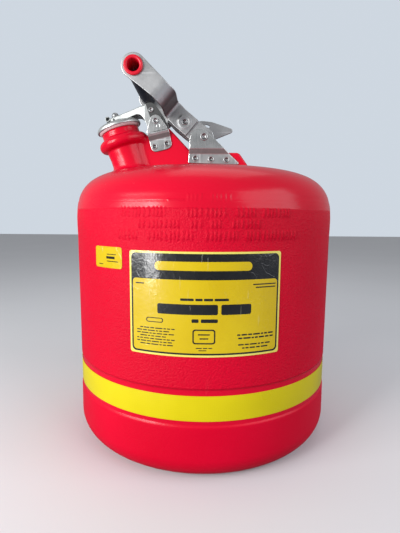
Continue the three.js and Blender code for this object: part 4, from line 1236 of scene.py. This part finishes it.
def spring():
    """Torsion spring about the lever's pivot: a straight leg, the coil, a straight leg."""
    coil_r, half_y, coil_steps = 4.6, 6.5, 240
    first_leg, last_leg, leg_steps = 14.0, 16.5, 8
    wire_r, wire_count, tip = 0.75, 12, 0.3
    start, end = math.radians(51.9), math.radians(29.9 + 5 * 360)

    def wire_point(angle, y, leg=0.0):
        """On the coil, or moved by leg along the tangent there."""
        return (FRONT_PIVOT[0] + coil_r * math.cos(angle) + leg * math.sin(angle), y,
                FRONT_PIVOT[1] + coil_r * math.sin(angle) - leg * math.cos(angle))

    path = [wire_point(start, -half_y, first_leg * (1 - i / leg_steps))
            for i in range(leg_steps)]
    path += [wire_point(start + (end - start) * i / coil_steps,
                        -half_y + 2 * half_y * i / coil_steps) for i in range(coil_steps + 1)]
    path += [wire_point(end, half_y, -last_leg * i / leg_steps)
             for i in range(1, leg_steps + 1)]
    path = np.array(path)
    tangents = np.gradient(path, axis=0)
    tangents /= np.linalg.norm(tangents, axis=1)[:, None]
    vertices, quads, triangles = [], [], []
    for point, tangent in zip(path, tangents):
        side = np.cross(tangent, (0, 1.0, 0))
        side /= np.linalg.norm(side)
        normal = np.cross(side, tangent)
        for j in range(wire_count):
            angle = 2 * math.pi * j / wire_count
            vertices.append(point + wire_r * (math.cos(angle) * side + math.sin(angle) * normal))
    last = (len(path) - 1) * wire_count
    for ring in range(0, last, wire_count):
        for j in range(wire_count):
            k = (j + 1) % wire_count
            quads.append((ring + j, ring + k, ring + wire_count + k, ring + wire_count + j))
    pole = len(vertices)
    vertices += [path[0] - tangents[0] * tip, path[-1] + tangents[-1] * tip]
    for j in range(wire_count):
        k = (j + 1) % wire_count
        triangles += [(j, pole, k), (last + k, pole + 1, last + j)]
    vertices = np.array(vertices)
    faces = outward(vertices, np.array(quads, np.int32), np.array(triangles, np.int32))
    ob = build("cap_spring_wire", (vertices, *faces), ["spring_steel"])
    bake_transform(ob)
    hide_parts("cap_spring")


spring()


# ------------------------------------------------------------------ stage, light and camera
def floor():
    count, size = 40, 8000
    vertices = [(-4000 + size * i / count, -3000 + size * j / count, 0.0)
                for i in range(count + 1) for j in range(count + 1)]
    row = count + 1
    quads = [(a, a + row, a + row + 1, a + 1)
             for a in (i * row + j for i in range(count) for j in range(count))]
    mat = Surface("stage_floor")
    pale = mat.mix(mat.noise(scale=3, detail=2), (0.72, 0.73, 0.75, 1), (0.76, 0.77, 0.79, 1))
    # pale to the camera, darker in reflections and bounced light
    seen = mat.node("ShaderNodeLightPath").outputs["Is Camera Ray"]
    mat.set(Base_Color=mat.mix(seen, (0.20, 0.22, 0.27, 1), pale),
            Roughness=0.85, Specular_IOR_Level=0.15)
    parts = np.array(vertices, float), np.array(quads, np.int32), NO_TRIANGLES
    build("stage_floor", parts, ["stage_floor"])


def studio_world():
    """Grey surround, with a separate backdrop where the camera looks straight at it."""
    world = bpy.data.worlds.new("studio")
    bpy.context.scene.world = world
    world.use_nodes = True
    nodes, links = world.node_tree.nodes, world.node_tree.links
    surround = nodes["Background"]
    surround.inputs["Color"].default_value = (0.84, 0.86, 0.90, 1)
    surround.inputs["Strength"].default_value = 0.42
    backdrop = nodes.new("ShaderNodeBackground")
    backdrop.inputs["Color"].default_value = (0.62, 0.68, 0.75, 1)
    backdrop.inputs["Strength"].default_value = 1.0
    light_path = nodes.new("ShaderNodeLightPath")
    mix = nodes.new("ShaderNodeMixShader")
    links.new(light_path.outputs["Is Camera Ray"], mix.inputs["Fac"])
    links.new(surround.outputs[0], mix.inputs[1])
    links.new(backdrop.outputs[0], mix.inputs[2])
    links.new(mix.outputs[0], nodes["World Output"].inputs["Surface"])


def area_light(name, place, target, size, power, color=(1, 1, 1), size_y=None):
    light = bpy.data.lights.new(name, "AREA")
    light.energy = power
    light.color = color
    light.size = size
    if size_y:
        light.shape = "RECTANGLE"
        light.size_y = size_y
    ob = bpy.data.objects.new(name, light)
    ob.location = place
    ob.rotation_mode = "QUATERNION"
    ob.rotation_quaternion = (Vector(target) - Vector(place)).to_track_quat("-Z", "Y")
    bpy.context.scene.collection.objects.link(ob)


def camera():
    data = bpy.data.cameras.new("camera")
    data.sensor_width = 36
    data.sensor_fit = "AUTO"
    data.lens = 26.34146341
    data.clip_start = 0.01
    data.clip_end = 50
    ob = bpy.data.objects.new("camera", data)
    bpy.context.scene.collection.objects.link(ob)
    # columns: right, up, backward, place
    ob.matrix_world = Matrix((
        (0.99993666, -0.00815805, 0.00775402, 0.0),
        (0.00872104, 0.12609036, -0.99198043, -0.49722468),
        (0.00711492, 0.99198521, 0.12615352, 0.25704866),
        (0, 0, 0, 1)))
    bpy.context.scene.camera = ob
    bpy.context.scene.view_settings.view_transform = "Standard"


floor()
studio_world()
area_light("key", place=(-1.10, -0.85, 0.48), target=(0, 0, 0.18), size=0.8, power=17.5)
area_light("strip", place=(-0.84, -0.98, 0.36), target=(0, 0, 0.14), size=0.24, power=6.5,
           size_y=0.70)
area_light("fill_right", place=(1.3, -0.8, 0.8), target=(0, 0, 0.25), size=1.4, power=15.5,
           color=(0.92, 0.94, 1.0))
area_light("top", place=(0.1, 0.45, 1.5), target=(0, 0, 0.3), size=0.9, power=2.0)
camera()
